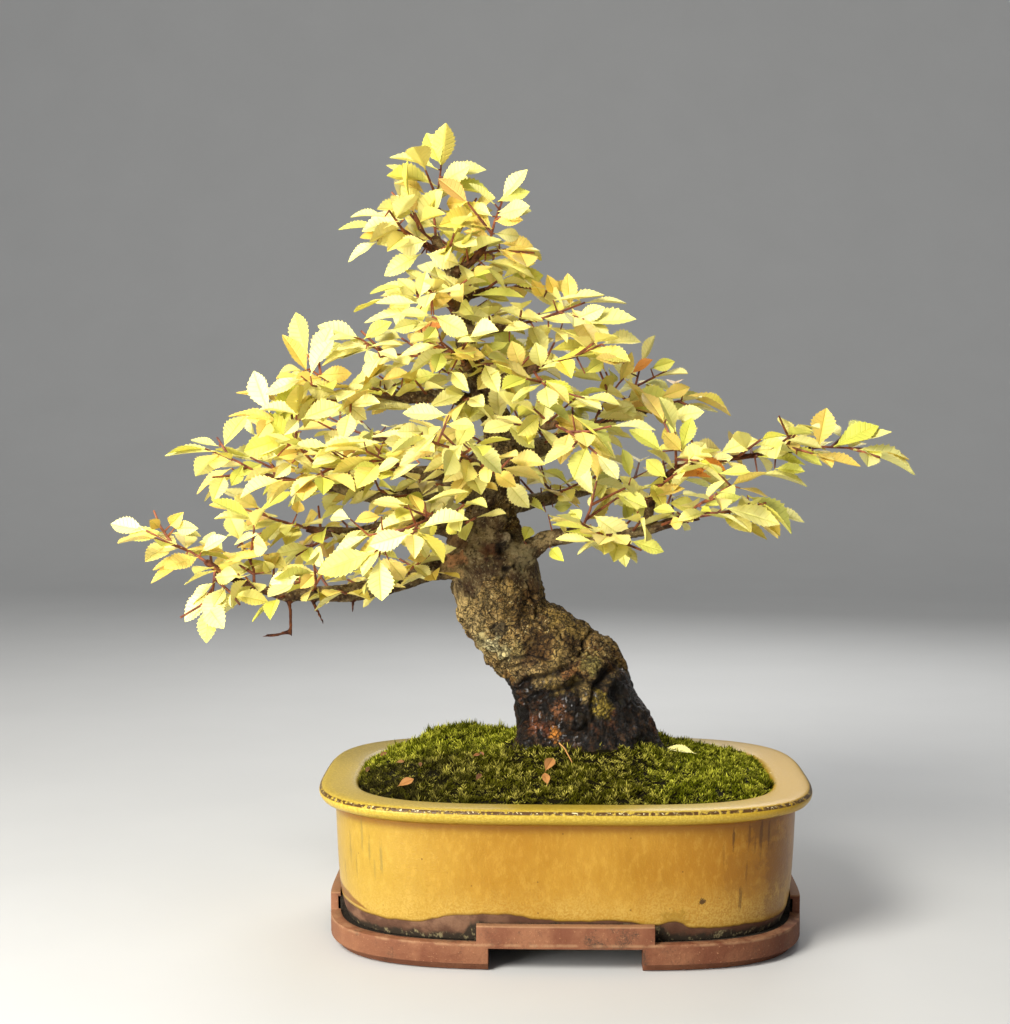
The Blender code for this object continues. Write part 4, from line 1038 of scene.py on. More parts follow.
# Patches of colour: the point, how far it reaches, how strong it is, and the colour. The pale ones down the
# left flank are partly lichen and bark and partly painted light, and the near-black ones in the deep crack
# and the hollows are painted shade.
PATCHES = (
    # The pale patches on this line and the next five lie down the left flank and are partly painted light.
    (-47.0, 147.0, 5.5, 0.8, (196, 162, 104)), (-46.0, 139.0, 5.5, 0.8, (206, 174, 116)),
    (-41.5, 131.0, 6.5, 0.9, (222, 190, 122)), (-38.0, 124.5, 5.5, 0.85, (214, 186, 124)),
    (-34.5, 113.5, 4.5, 0.85, (222, 202, 142)), (-30.0, 107.5, 4.0, 0.8, (196, 160, 96)),
    (-26.5, 101.5, 3.6, 0.75, (170, 128, 68)), (-36.0, 124.0, 4.0, 0.6, (112, 96, 50)),
    (-34.3, 118.3, 4.5, 0.8, (204, 190, 132)), (-29.7, 116.0, 5.0, 0.95, (226, 214, 160)),
    (-25.7, 112.3, 4.5, 0.9, (214, 200, 142)), (-27.0, 122.3, 3.8, 0.8, (72, 66, 50)),
    (-20.0, 113.5, 4.5, 0.7, (150, 132, 76)), (-10.5, 115.0, 8.5, 0.9, (84, 54, 20)),
    (-1.9, 127.0, 8.0, 0.85, (178, 146, 74)), (5.0, 122.5, 6.5, 0.8, (160, 130, 66)),
    (3.4, 118.5, 5.5, 0.8, (84, 58, 24)), (-3.5, 111.0, 6.0, 0.8, (168, 140, 80)),
    (12.0, 109.1, 6.5, 0.85, (150, 136, 72)), (16.0, 91.4, 6.5, 0.9, (164, 140, 52)),
    (8.7, 95.6, 4.2, 0.9, (150, 126, 74)), (2.1, 104.2, 4.6, 0.8, (160, 100, 52)),
    (-5.5, 99.5, 5.0, 0.9, (176, 146, 80)), (4.0, 100.5, 3.6, 0.9, (150, 128, 70)),
    (-13.1, 82.9, 4.8, 0.75, (122, 68, 34)), (-1.8, 87.7, 4.8, 0.75, (128, 82, 48)),
    (-4.1, 78.4, 3.4, 0.95, (206, 132, 52)), (-8.0, 80.5, 3.4, 0.7, (122, 66, 34)),
    # Painted shade: the near-black patches on this line and the next two sit in the deep crack and the
    # hollows low on the trunk.
    (-17.5, 88.0, 4.0, 0.7, (96, 52, 28)), (17.3, 104.0, 4.6, 0.95, (10, 8, 6)),
    (14.7, 100.0, 4.0, 0.9, (10, 8, 6)), (22.0, 96.0, 7.0, 1.0, (10, 8, 6)),
    (-22.0, 90.0, 5.0, 0.9, (9, 8, 8)), (-47.0, 151.0, 3.8, 0.9, (206, 148, 94)),
    (-42.5, 152.0, 3.6, 0.8, (190, 134, 84)), (-16.5, 151.9, 6.0, 0.85, (122, 110, 76)),
    (-20.0, 156.0, 4.0, 0.8, (132, 118, 82)), (-24.4, 160.4, 2.6, 0.9, (178, 160, 126)),
    # Painted shade: the near-black patches on this line and the next two sit in the hollows by the branches.
    (-31.4, 155.2, 4.4, 0.85, (84, 42, 18)), (-26.0, 155.9, 3.6, 0.95, (18, 10, 6)),
    (-21.8, 161.7, 2.8, 0.95, (12, 8, 6)), (-24.4, 147.4, 2.0, 0.9, (26, 16, 8)),
    (-20.3, 148.6, 2.0, 0.9, (20, 12, 6)), (-18.5, 129.0, 6.0, 0.6, (110, 82, 38)),
    (-13.0, 137.4, 6.0, 0.7, (92, 58, 24)), (-45.0, 158.5, 4.5, 0.6, (118, 82, 44)),
)


# %% Finding the marks
CRACK_STEP = 0.5
CRACK_WIDER = 1.25
CRACK_DEEPER = 1.2


def point_tree(points):
    """A search tree of points, which finds the nearest ones and their indices."""
    tree = KDTree(len(points))
    for i, point in enumerate(points):
        tree.insert(point, i)
    tree.balance()
    return tree


def crack_points(surface):
    """Points along the cracks, about a step apart, with the half width and depth at each."""
    marks = []
    for width, depth, line in CRACKS:
        for (x0, z0), (x1, z1) in zip(line, line[1:]):
            cuts = max(1, round(math.hypot(x1 - x0, z1 - z0) / CRACK_STEP))
            for k in range(cuts):
                found = seen_on(surface, x0 + (x1 - x0) * k / cuts, z0 + (z1 - z0) * k / cuts)
                marks.append((found, CRACK_WIDER * width, CRACK_DEEPER * depth))
    return marks


wood_surface = surface_of(wood)
crack_marks = crack_points(wood_surface)
crack_tree = point_tree([mark[0] for mark in crack_marks])
hollow_marks = [(seen_on(wood_surface, x, z), reach, depth) for x, z, reach, depth in HOLLOWS]
patch_marks = [(seen_on(wood_surface, x, z), reach, share, srgb(*colour))
               for x, z, reach, share, colour in PATCHES]
print(len(crack_marks), "points of cracks,", len(hollow_marks), "hollows and", len(patch_marks), "patches")


# %% [markdown]
# ## Bark
#
# Old zelkova bark cracks into plates that flake off. The thick trunk has deep cracks, and the twigs are
# nearly smooth, so the relief follows how thick the wood is at each point. That comes from a search tree of
# points along the lines. The plates are scattered cells, found with Voronoi noise in two sizes, each a
# little higher or lower than the next. How deep in a crack a point lies, and how thick the wood is, are
# kept as attributes, so that the finish darkens the same cracks.

# %% What shapes the bark
def clamped(value, low=0.0, high=1.0):
    return min(high, max(low, value))


def thickness_finder(lines):
    """A function that gives the radius of the wood round a point, from all the lines near it."""
    dense = [row for line in lines for row in evenly(line, 2.5)]
    tree = point_tree([row[:3] for row in dense])

    def radius_at(point):
        near = tree.find_n(point, 6)
        return dense[max(near, key=lambda found: dense[found[1]][3] - found[2])[1]][3]

    return radius_at


def plate(point, size):
    """How far inside its plate a point lies, from 0 on the border to 1, and how proud that plate stands."""
    (first, second, *_), (middle, *_) = noise.voronoi(point / size)
    return min(1.0, (second - first) / 0.3), noise.noise(middle * 3.7)


def fissure(point, size, width):
    """1 in the middle of a long winding crack, and 0 away from it."""
    return max(0.0, 1 - abs(noise.noise(point / size)) / width)


def marked(point):
    """What the marks do at a point: how far they lower it, how dark a crack it lies in, and their paint."""
    ragged = 0.5 * noise.noise(point / 1.3)
    _, index, far = crack_tree.find(point)
    _, width, depth = crack_marks[index]
    dark = max(0.0, 1 - (far + ragged) / width)
    lower = depth * min(1.0, dark) ** 0.7
    for middle, reach, depth in hollow_marks:
        far = (point - middle).length
        if far < reach:
            lower += depth * (0.5 + 0.5 * math.cos(math.pi * far / reach))
    colour, share = (0, 0, 0, 1), 0.0
    for middle, reach, strength, paint in patch_marks:
        far = ((point - middle).length / reach + 0.55 * noise.noise(point / 2.4)
               + 0.3 * noise.noise(point / 0.9))
        here = strength * min(1.0, (1 - far) / 0.35)
        if far < 1 and here > share:
            colour, share = paint, here
    return lower, dark, (*colour[:3], share)


# %% Relief of the bark
# The vector noise starts from the clock, unless it is given a seed.
BARK_SEED = 7
noise.seed_set(BARK_SEED)
TRUNK_FOOT = 70.0
TRUNK_TOP = 180.0
MARKED_HEIGHTS = (60.0, 175.0)


def bark_relief(point, radius):
    """How far the bark stands out at a point, and how deep in a crack between plates the point lies."""
    stout = clamped((radius - 1.5) / 12)
    share = clamped((point.z - TRUNK_FOOT) / 14) * clamped((TRUNK_TOP - point.z) / 10)
    lump = noise.noise(point / 13.0) + 0.5 * noise.noise(point / 5.8)
    lift = 2.5 * lump * share * min(1.0, radius / 12)
    warped = point + noise.noise_vector(point / 4.5) * 2.2
    along = Vector((warped.x, warped.y, 0.55 * warped.z))
    deep = max(fissure(along, 6.5, 0.08), 0.8 * fissure(along + Vector((40, 0, 0)), 3.4, 0.10))
    inside, proud = plate(Vector((warped.x, warped.y, 0.75 * warped.z)), 1.7 + 1.9 * stout)
    lift -= (0.10 + 1.1 * stout) * deep + (0.05 + 0.5 * stout) * (1 - inside)
    lift += (0.05 + 0.9 * stout) * proud
    lift += (0.05 + 0.5 * stout) * noise.noise(point / 4.2) + (0.05 + 0.3 * stout) * noise.noise(point / 1.6)
    return lift, max(0.85 * deep, 0.6 * (1 - inside))


def carve_bark(obj):
    radius_at = thickness_finder(wood_lines)
    new = obj.data.attributes.new
    girth, crack, painted_light_side = (new(name, "FLOAT", "POINT") for name in ("girth", "crack", "painted_light_side"))
    paints = new("paint", "FLOAT_COLOR", "POINT")
    normals = [vertex.normal.copy() for vertex in obj.data.vertices]
    for index, (vertex, normal) in enumerate(zip(obj.data.vertices, normals)):
        point = measured(vertex.co)
        radius = radius_at(point)
        lift, between_plates = bark_relief(point, radius)
        lower, dark, paint = 0.0, 0.0, (0, 0, 0, 0)
        if point.y < 4 and MARKED_HEIGHTS[0] < point.z < MARKED_HEIGHTS[1]:
            lower, dark, paint = marked(point)
        vertex.co += normal * (lift - lower) * MM
        girth.data[index].value = radius
        # Painted light: how far a point faces the light, to the left and front, which the finish makes paler.
        painted_light_side.data[index].value = max(0.0, -0.9 * normal.x - 0.25 * normal.y - 0.05)
        crack.data[index].value = max(dark, between_plates)
        paints.data[index].color = paint


carve_bark(wood)
wood.data.shade_smooth()


# %% [markdown]
# ## The colours of the wood
#
# The trunk changes on the way up. At the soil it is wet and almost black, with patches of rust orange and
# moss. Above the first bend the plates are dry and yellow brown, with pale grey crusts of lichen, and painted
# light makes them paler on the side the light falls on. The branches are grey brown and the youngest twigs
# reddish. Thickness and height choose between them, cracks are painted near black everywhere, partly as the
# inner bark's own colour and partly as painted shade, and the painted patches lie over all of it.

# %% Colours of dry, wet and thin bark
def dry_bark(tree, where, flat, blotch, fine):
    """Yellow brown plates, made paler by painted light on the side the light falls on, and crusted with pale
    lichen.
    """
    tone = parts(cells(flat, 0.25, "Color"), "SeparateColor")
    dry = blend(step_up(blotch, 0.38, 0.60), (90, 62, 28), (156, 124, 66))
    dry = blend(tone[0] * 0.62, dry, (176, 148, 88))
    dry = blend((tone[1] > 0.72) * 0.5, dry, (74, 44, 18))
    # Painted light: the trunk is paler on the side the light falls on.
    painted_lit_side = attribute(tree, "painted_light_side") * step_up(clouds(where, 5.0, 4.0), 0.32, 0.50)
    dry = blend(painted_lit_side, dry, (208, 176, 112))
    dry = blend(step_up(fine, 0.56, 0.70), dry, (214, 194, 138))
    dry = blend(step_up(fine, 0.45, 0.34), dry, (38, 24, 8))
    return blend(step_up(clouds(where, 11.0), 0.54, 0.66) * 0.6, dry, (92, 52, 20))


def soaked_bark(where, z):
    """Nearly black, with brown patches, and rust orange ones low down."""
    soaked = blend(step_up(clouds(where, 2.6, 5.0, 0.7), 0.46, 0.66), (14, 10, 8), (78, 54, 32))
    rust = step_up(clouds(where, 6.0, 5.0), 0.55, 0.64) * step_up(z, 106.0, 92.0)
    return blend(rust * 0.7, soaked, (98, 56, 28))


def limb_bark(blotch, fine):
    limb = blend(step_up(blotch, 0.4, 0.6), (82, 60, 36), (138, 118, 78))
    limb = blend(step_up(fine, 0.54, 0.72), limb, (182, 166, 122))
    return blend(step_up(fine, 0.46, 0.34), limb, (44, 28, 16))


def plate_lines(where, flat):
    """1 on the borders of the large plates, and on those of small ones here and there."""
    border = step_up(cells(flat, 0.25, "Distance", "DISTANCE_TO_EDGE"), 0.075, 0.02)
    small = step_up(cells(flat, 0.62, "Distance", "DISTANCE_TO_EDGE"), 0.11, 0.03)
    return larger(border, small * step_up(clouds(where, 9.0), 0.40, 0.52) * 0.75)


# %% Bark finish
def bark_finish():
    made, tree, shader, where = new_finish("old_bark")
    z = parts(where)[2]
    girth = attribute(tree, "girth")
    shift = Wire(put(tree, "TexNoise", {"Vector": where, "Scale": 0.28, "Detail": 3.0}), "Color")
    warped = Wire(put(tree, "VectorMath", {0: shift, 1: (6.0, 6.0, 6.0), 2: where}, operation="MULTIPLY_ADD"))
    flat = Wire(put(tree, "Mapping", {"Vector": warped, "Scale": (1.0, 1.0, 1.35)}))
    blotch = clouds(where, 8.0, 6.0, 0.62)
    fine = clouds(where, 1.3, 4.0, 0.7)
    wet = step_up(z + clouds(where, 13.0, 5.0) * 30.0, 124.0, 115.0)
    thick = blend(wet, dry_bark(tree, where, flat, blotch, fine), soaked_bark(where, z))
    twig = blend(step_up(clouds(where, 3.0), 0.4, 0.6), (72, 34, 20), (116, 66, 36))
    base = blend(step_up(girth, 1.4, 2.6), twig, limb_bark(blotch, fine))
    base = blend(larger(step_up(girth, 5.0, 9.0), step_up(z, 96.0, 88.0)), base, thick)
    painted = attribute(tree, "paint", "Alpha") * (step_up(fine, 0.36, 0.52) * 0.62 + 0.38)
    base = blend(painted, base, attribute(tree, "paint", "Color"))
    lines = plate_lines(where, flat) * step_up(girth, 3.0, 8.0)
    # The cracks and plate borders are painted near black: partly the inner bark's own dark, partly painted
    # shade deep in them.
    dark = larger(step_up(attribute(tree, "crack"), 0.25, 0.85), lines)
    base = blend(dark * 0.88, base, (16, 10, 5))
    coat = wet * step_up(clouds(where, 1.6, 4.0), 0.52, 0.72)
    feed(shader, Base_Color=base, Specular_IOR_Level=0.25, Coat_Weight=coat, Coat_Roughness=0.26,
         Normal=bump(clouds(where, 1.1, 5.0, 0.75) - lines, 0.9), Roughness=between(wet, 0.8, 0.38))
    return made


finish_piece(wood, "wood", "bark", [bark_finish()], "trunk_and_branches")


# %% [markdown]
# ## Where the leaves grow
#
# Each branch ends in a young shoot with a side shoot to each side, and more such sprays grow out of the
# branches' flanks. Leaves sit in two ranks along a shoot, with one at its end. The CAD model draws each
# spray again until its shoots run clear of everything. The same draws are made here with the same seeds, so
# the few CAD leaves are all in this fuller set, which adds the leaves between them.

# %% Sprays as tables
SIDE_SPRAYS = (
    ("under_low_left", "low_left", 0.78, (-147, 133, -38)),
    ("over_low_left", "low_left", 0.66, (-134, 158, -20)),
    ("front_low_left", "low_left", 0.50, (-104, 149, -44)),
    ("near_low_left", "low_left", 0.26, (-74, 146, -38)),
    ("mid_inner_left", "inner_left", 0.62, (-113, 156, 24)),
    ("side_middle_left", "middle_left", 0.72, (-128, 202, 20)),
    ("near_middle_left", "middle_left", 0.45, (-92, 190, 30)),
    ("side_upper_left", "upper_left", 0.66, (-117, 184, -38)),
    ("near_upper_left", "upper_left", 0.38, (-82, 196, -40)),
    ("side_top_left", "top_left", 0.62, (-106, 216, -22)), ("under_apex", "leader", 0.79, (-64, 299, -9)),
    ("far_apex", "leader", 0.74, (-44, 296, 16)), ("side_apex_right", "apex_right", 0.40, (-22, 279, 4)),
    ("side_low_right", "low_right", 0.66, (68, 182, -42)),
    ("front_low_right", "low_right", 0.42, (18, 161, -42)),
    ("rise_low_right", "low_right", 0.30, (13, 184, -28)),
    ("side_long_right", "long_right", 0.66, (95, 204, -16)),
    ("rise_long_right", "long_right", 0.28, (45, 204, -20)),
    ("side_back_right", "back_right", 0.55, (22, 224, 40)),
    ("side_upper_right", "upper_right", 0.50, (-8, 223, -34)),
)
SIDE_SHOOTS = ((0.30, 1), (0.58, -1))
SIDE_SHOOT_LENGTH = (12.0, 18.0)
SHOOT_RADIUS = 1.0
SHOOT_TIP_RADIUS = 0.65
SHOOT_STEP = 11.0
SHOOT_ROOM = 0.8
DRAWS = 60
TRUNK_MIDDLE = (-25, 0)
LEAF_LENGTH = (14.0, 19.5)
LEAF_WIDTH_SHARE = (0.50, 0.60)
LEAF_SINK = 0.12
LEAF_SPACING = 6.0


# %% Shoots
def taper(points):
    last = len(points) - 1
    fall = SHOOT_TIP_RADIUS - SHOOT_RADIUS
    return [(*p[:3], SHOOT_RADIUS + fall * i / last) for i, p in enumerate(points)]


def bowed_shoot(start, end, draw):
    """A shoot from start to end, bowed a little to one side and downwards."""
    length = (end - start).length
    bow = Vector((draw.uniform(-1, 1), draw.uniform(-1, 1), draw.uniform(-1, 0.3))) * 0.12 * length
    cuts = max(1, round(length / SHOOT_STEP))
    return taper([start.lerp(end, i / cuts) + bow * 4 * (i / cuts) * (1 - i / cuts) for i in range(cuts + 1)])


def away_from_trunk(point):
    return Vector((point.x - TRUNK_MIDDLE[0], point.y - TRUNK_MIDDLE[1], 0)).normalized()


def facing_up(direction, outward, draw, wobble):
    """The upper side of what grows this way: mostly up, leaning outwards and to the light in front."""
    up = Vector((0, -0.15, 0.8)) + 0.3 * outward
    up += Vector((draw.uniform(-1, 1), draw.uniform(-1, 1), draw.uniform(-0.3, 0.6))) * wobble
    return (up - direction * up.dot(direction)).normalized()


def spray_shoots(main, outward, draw):
    """The main shoot and its side shoots, one to each side."""
    shoots = [main]
    length = line_length(main)
    for share, side in SIDE_SHOOTS:
        root, after = point_along(main, share * length)
        forward = heading(main, after)
        angle = math.radians(side * draw.uniform(38, 60))
        turn = Matrix.Rotation(angle, 3, facing_up(forward, outward, draw, 0.5))
        end = Vector(root[:3]) + turn @ forward * draw.uniform(*SIDE_SHOOT_LENGTH)
        shoots.append(bowed_shoot(Vector(root[:3]), end, draw))
    return shoots


# %% Leaves along a shoot
def leaf_frame(root, direction, up):
    """The matrix whose x runs along the blade and whose z is its upper face's normal."""
    x = direction.normalized()
    y = up.cross(x).normalized()
    matrix = Matrix((x, y, x.cross(y))).transposed().to_4x4()
    matrix.translation = root
    return matrix


def shoot_leaves(k, shoot, outward, draw, spacing=LEAF_SPACING):
    """Leaves in two ranks along a shoot, and one at its end: (frame, length, width) of each."""
    length = line_length(shoot)
    leaves = []
    for i in range(1 + int((length - 3.0) / spacing)):
        root, after = point_along(shoot, length - i * spacing)
        forward = heading(shoot, after)
        face = facing_up(forward, outward, draw, 0.45)
        side = 0 if i == 0 else (-1) ** (i + k)
        turn = Matrix.Rotation(math.radians(side * draw.uniform(45, 68) + draw.uniform(-10, 10)), 3, face)
        direction = turn @ forward + Vector((0, 0, -draw.uniform(0.0, 0.15)))
        direction = (direction - 0.2 * face).normalized()
        size = draw.uniform(*LEAF_LENGTH)
        matrix = leaf_frame(Vector(root[:3]) - direction * LEAF_SINK, direction, face)
        leaves.append((matrix, size, size * draw.uniform(*LEAF_WIDTH_SHARE)))
    return leaves


# %% [markdown]
# ## Planning the sprays
#
# A shoot is checked as a row of small spheres against those of the wood and of the shoots before it. Where
# none of the draws fits, the last one stays.

# %% Plan of every spray
NEAR_ENOUGH = 70.0
ROOT_ROOM = 3.0


def samples(line, step=1.5):
    return [(Vector(row[:3]), row[3]) for row in evenly(line, step)]


def clear_of(shoot, spheres, root, root_room):
    """Whether a shoot keeps its distance from all the spheres, apart from those round its root."""
    spheres = [s for s in spheres if (s[0] - root).length > root_room]
    for point, radius in samples(shoot):
        if (point - root).length > root_room:
            if any((point - other).length < radius + room + SHOOT_ROOM for other, room in spheres):
                return False
    return True


def spray_starts(lines):
    """Every spray as (name, the rows or the two ends of its main shoot, the wood's radius at its root)."""
    starts = [("tip_" + name, split_young(line)[1], 0.0) for name, line in lines.items()]
    for name, branch, share, seen in SIDE_SPRAYS:
        row, _ = point_along(lines[branch], share * line_length(lines[branch]))
        starts.append((name, [Vector(row[:3]), at_depth(seen)], row[3]))
    return starts


def plan_sprays(lines):
    """Every spray as (name, shoots, leaves)."""
    firm = [sphere for line in lines.values() for sphere in samples(split_young(line)[0])]
    firm += samples(smooth_line(TRUNK, TRUNK_STEP))
    starts = spray_starts(lines)
    shoot_spheres = [sphere for _, main, _ in starts[:len(lines)] for sphere in samples(taper(main))]
    plans = []
    for index, (name, main, room) in enumerate(starts):
        at_tip = index < len(lines)
        root = Vector(main[0][:3])
        own = samples(taper(main)) if at_tip else []
        others = [s for s in shoot_spheres if s not in own]
        for attempt in range(DRAWS):
            draw = random.Random(100 * index + attempt)
            shoot = taper([Vector(row[:3]) for row in main]) if at_tip else bowed_shoot(root, main[1], draw)
            end = Vector(shoot[-1][:3])
            outward = away_from_trunk(end)
            shoots = spray_shoots(shoot, outward, draw)
            near = [s for s in firm + others if (s[0] - end).length < NEAR_ENOUGH]
            if all(clear_of(one, near, root, room + ROOT_ROOM) for one in shoots):
                break
        plans.append((name, shoots, [leaf for k, one in enumerate(shoots)
                                     for leaf in shoot_leaves(k, one, outward, draw)]))
        for one in shoots[1 if at_tip else 0:]:
            shoot_spheres += samples(one)
    return plans


plans = plan_sprays(branch_lines)
print(len(plans), "sprays with", sum(len(leaves) for _, _, leaves in plans), "leaves")


# %% [markdown]
# ## One leaf, modelled a few times
#
# A zelkova leaf is a pointed ellipse with seven or more forward teeth on each side, on a very short stalk.
# It is folded along its rib and bends down to the tip. Six of them, folded and bent differently, are
# enough, because each copy is turned and sized on its own. A grid is pulled to the outline, then doubled
# and sealed along the rim, so the blade is a closed, very thin lens. It has only some ninety faces, since
# hundreds of copies follow.

# %% Leaf shapes
LEAF_TEETH = 10
LEAF_STALK = 0.07
RIB_DEPTH = 0.014
# Each leaf's fold, droop and ripple.
LEAF_KINDS = (
    (0.30, 0.10, 0.02), (0.42, 0.17, 0.05), (0.20, 0.06, 0.08), (0.36, -0.05, 0.04), (0.60, 0.22, 0.05),
    (0.26, 0.14, 0.10),
)


def leaf_stations():
    """Along the leaf: distance from the root and half width, as shares, with a notch and a tooth in turn."""
    rows = [(0.0, 0.045), (LEAF_STALK, 0.06)]
    for tooth in range(LEAF_TEETH):
        for within, cut in ((0.0, 0.84), (0.76, 1.0)):
            along = 0.04 + 0.94 * (tooth + within) / LEAF_TEETH
            half_width = cut * math.sin(math.pi * along ** 1.06) ** 0.96
            rows.append((LEAF_STALK + (1 - LEAF_STALK) * along, half_width))
    return rows + [(1.0, 0.0)]


def double_and_flip():
    bpy.ops.mesh.duplicate()
    bpy.ops.mesh.flip_normals()


def leaf_kind(fold, droop, ripple):
    """One blade, 1 long and 2 wide, as (points, faces)."""
    rows = leaf_stations()
    bpy.ops.object.select_all(action="DESELECT")
    bpy.ops.mesh.primitive_grid_add(x_subdivisions=len(rows) - 1, y_subdivisions=2, size=1.0)
    blade = bpy.context.object
    for vertex in blade.data.vertices:
        along, half_width = rows[round((vertex.co.x + 0.5) * (len(rows) - 1))]
        side = round(vertex.co.y * 2)
        wave = ripple * math.sin(9 * along + 2 * side)
        vertex.co = (along + 0.03 * abs(side) * half_width, side * half_width,
                     (fold + wave) * 0.28 * abs(side) * half_width - droop * along * along)
    edit((double_and_flip, {}))
    for vertex in blade.data.vertices:
        if vertex.select and abs(vertex.co.y) < 1e-6 and vertex.co.x < 0.999:
            vertex.co.z -= RIB_DEPTH
    edit((bpy.ops.mesh.remove_doubles, {"threshold": 1e-4}))
    points = [v.co.copy() for v in blade.data.vertices]
    faces = [tuple(p.vertices) for p in blade.data.polygons]
    bpy.data.objects.remove(blade)
    return points, faces


leaf_kinds = [leaf_kind(*kind) for kind in LEAF_KINDS]
print("a leaf has", len(leaf_kinds[0][1]), "faces")


# %% [markdown]
# ## The leaf's finish
#
# The leaves are in their last yellow. Most are pale lemon, some are still greenish, some are golden or
# peach, and a few have gone orange brown. Each leaf carries three numbers from a draw of its own: how
# green, how golden, and how brown it is. Rib and side veins follow the blade's own UV map, where u runs
# along the leaf and v across it. They are a node group, because fallen leaves use them too.

# %% Vein group and leaf finishes
def make_vein_group():
    group, given = new_group("veins", (("UV", "Vector"), ("Pairs", "Float")),
                             (("Veins", "Float"), ("Rim", "Float")))
    along, across, _ = parts(given["UV"])
    offset = abs((across - 0.5) * 2.0)
    wave = sums("FRACT", (along - offset * 0.14) * given["Pairs"])
    side = step_up(abs(wave - 0.5), 0.14, 0.04)
    put(group, "NodeGroupOutput", {"Veins": larger(step_up(offset, 0.10, 0.03), side * 0.6),
                                   "Rim": step_up(offset, 0.72, 1.0)})
    return group


vein_group = make_vein_group()
VEIN_PAIRS = 9.0


def leaf_finish(name, young, green, gold, brown, rim_colour):
    made, tree, shader, where = new_finish(name)
    uv = Wire(put(tree, "UVMap", uv_map="blade"))
    group = put(tree, "Group", {"UV": uv, "Pairs": VEIN_PAIRS}, node_tree=vein_group)
    veins, rim = Wire(group, "Veins"), Wire(group, "Rim")
    greenish, golden, browned = parts(attribute(tree, "tint", "Color"), "SeparateColor")
    base = blend(golden, blend(greenish, young, green), gold)
    base = blend(step_up(clouds(where, 5.0), 0.46, 0.66) * 0.16, base, gold)
    base = blend(rim * 0.55, base, rim_colour)
    base = blend(veins * 0.30, base, green)
    base = blend(browned, base, brown)
    feed(shader, Base_Color=base, Roughness=0.55, Normal=bump(clouds(where, 1.4) * 0.3 - veins, 0.22, 0.7))
    return made


def young_bark_finish():
    made, _, shader, where = new_finish("young_bark")
    base = blend(step_up(clouds(where, 4.0, 4.0), 0.4, 0.62), (98, 48, 30), (150, 84, 48))
    base = grime(where, base, (60, 34, 24), 3.0, 0.3)
    feed(shader, Base_Color=base, Roughness=0.6, Normal=bump(clouds(where, 0.8), 0.2))
    return made


autumn_leaf = leaf_finish("autumn_leaf", young=(248, 240, 158), green=(206, 208, 76), gold=(242, 204, 92),
                          brown=(198, 112, 36), rim_colour=(244, 220, 124))
dry_leaf = leaf_finish("dry_leaf", young=(200, 146, 84), green=(158, 112, 52), gold=(178, 116, 58),
                       brown=(88, 50, 24), rim_colour=(132, 84, 48))
young_bark = young_bark_finish()


# %% [markdown]
# ## Growing the sprays
#
# The shoots are tubes again, thinner than the CAD model's. Then every leaf of the plan is copied on, and the
# spray is one mesh with two finishes. A leaf that would stick in the wood is left off, and so is one that
# would close a gap in the crown.

# %% Copies of the leaf
def add_copies(obj, copies):
    """Adds copies of leaf kinds to a mesh: (kind, frame, length, width, tint) of each."""
    mesh = obj.data
    points = [v.co.copy() for v in mesh.vertices]
    faces = [tuple(p.vertices) for p in mesh.polygons]
    own_faces = len(faces)
    tints = [(0, 0, 0, 1)] * len(points)
    uvs = [(0.5, 0.5)] * len(points)
    for kind, matrix, length, width, tint in copies:
        start = len(points)
        shape, shape_faces = leaf_kinds[kind]
        for p in shape:
            points.append(place(*(matrix @ Vector((p.x * length, p.y * width / 2, p.z * length)))))
            uvs.append((p.x, 0.5 + p.y / 2))
        tints += [(*tint, 1.0)] * len(shape)
        faces += [tuple(start + v for v in face) for face in shape_faces]
    made = bpy.data.meshes.new(mesh.name)
    made.from_pydata(points, [], faces)
    made.polygons.foreach_set("material_index", [0] * own_faces + [1] * (len(faces) - own_faces))
    colour = made.attributes.new("tint", "FLOAT_COLOR", "POINT")
    colour.data.foreach_set("color", [v for tint in tints for v in tint])
    layer = made.uv_layers.new(name="blade")
    layer.data.foreach_set("uv", [v for loop in made.loops for v in uvs[loop.vertex_index]])
    made.set_sharp_from_angle(angle=math.radians(24))
    obj.data = made
    bpy.data.meshes.remove(mesh)


# %% Where no leaf stands
# Gaps in the crown and beside it, read with a ruler over the picture, as seen: x, z and radius. No leaf but
# the CAD model's stands in one.
GAPS = (
    (-80, 306, 8), (-93, 302, 10), (-92, 285, 6), (-84, 268, 9), (-97, 257, 12), (-128, 228, 5),
    (-148, 207, 7), (-168, 180, 12), (-155, 171, 5), (-165, 128, 11), (-148, 117, 6), (-131, 121, 5),
    (-92, 124, 9), (-62, 129, 11), (-104, 205, 4), (-89, 229, 4), (-67, 238, 3), (-69, 243, 3),
    (-103, 175, 3), (-99, 158, 3), (-129, 178, 4), (-60, 188, 3), (-54, 184, 3), (-24, 314, 8),
    (-4, 292, 11), (-13, 288, 5), (-6, 276, 7), (26, 267, 12), (40, 250, 8), (24, 240, 6), (54, 229, 6),
    (86, 217, 13), (66, 208, 5), (130, 180, 13), (109, 185, 6), (99, 176, 8), (90, 158, 5), (55, 162, 6),
    (37, 143, 12), (12, 140, 9), (-11, 206, 3), (15, 209, 4), (29, 199, 4), (1, 190, 4), (-10, 177, 3),
    (11, 169, 4), (33, 187, 3), (76, 190, 3), (-33, 266, 3),
)


def in_wood(matrix, length):
    """Whether the leaf's rib, past its root, comes within half a millimetre of the wood."""
    ribs = (place(*(matrix @ Vector((share * length, 0, 0)))) for share in (0.35, 0.6, 0.85, 1.0))
    return any(wood_tree.find_nearest(rib, 0.5 * MM)[0] for rib in ribs)


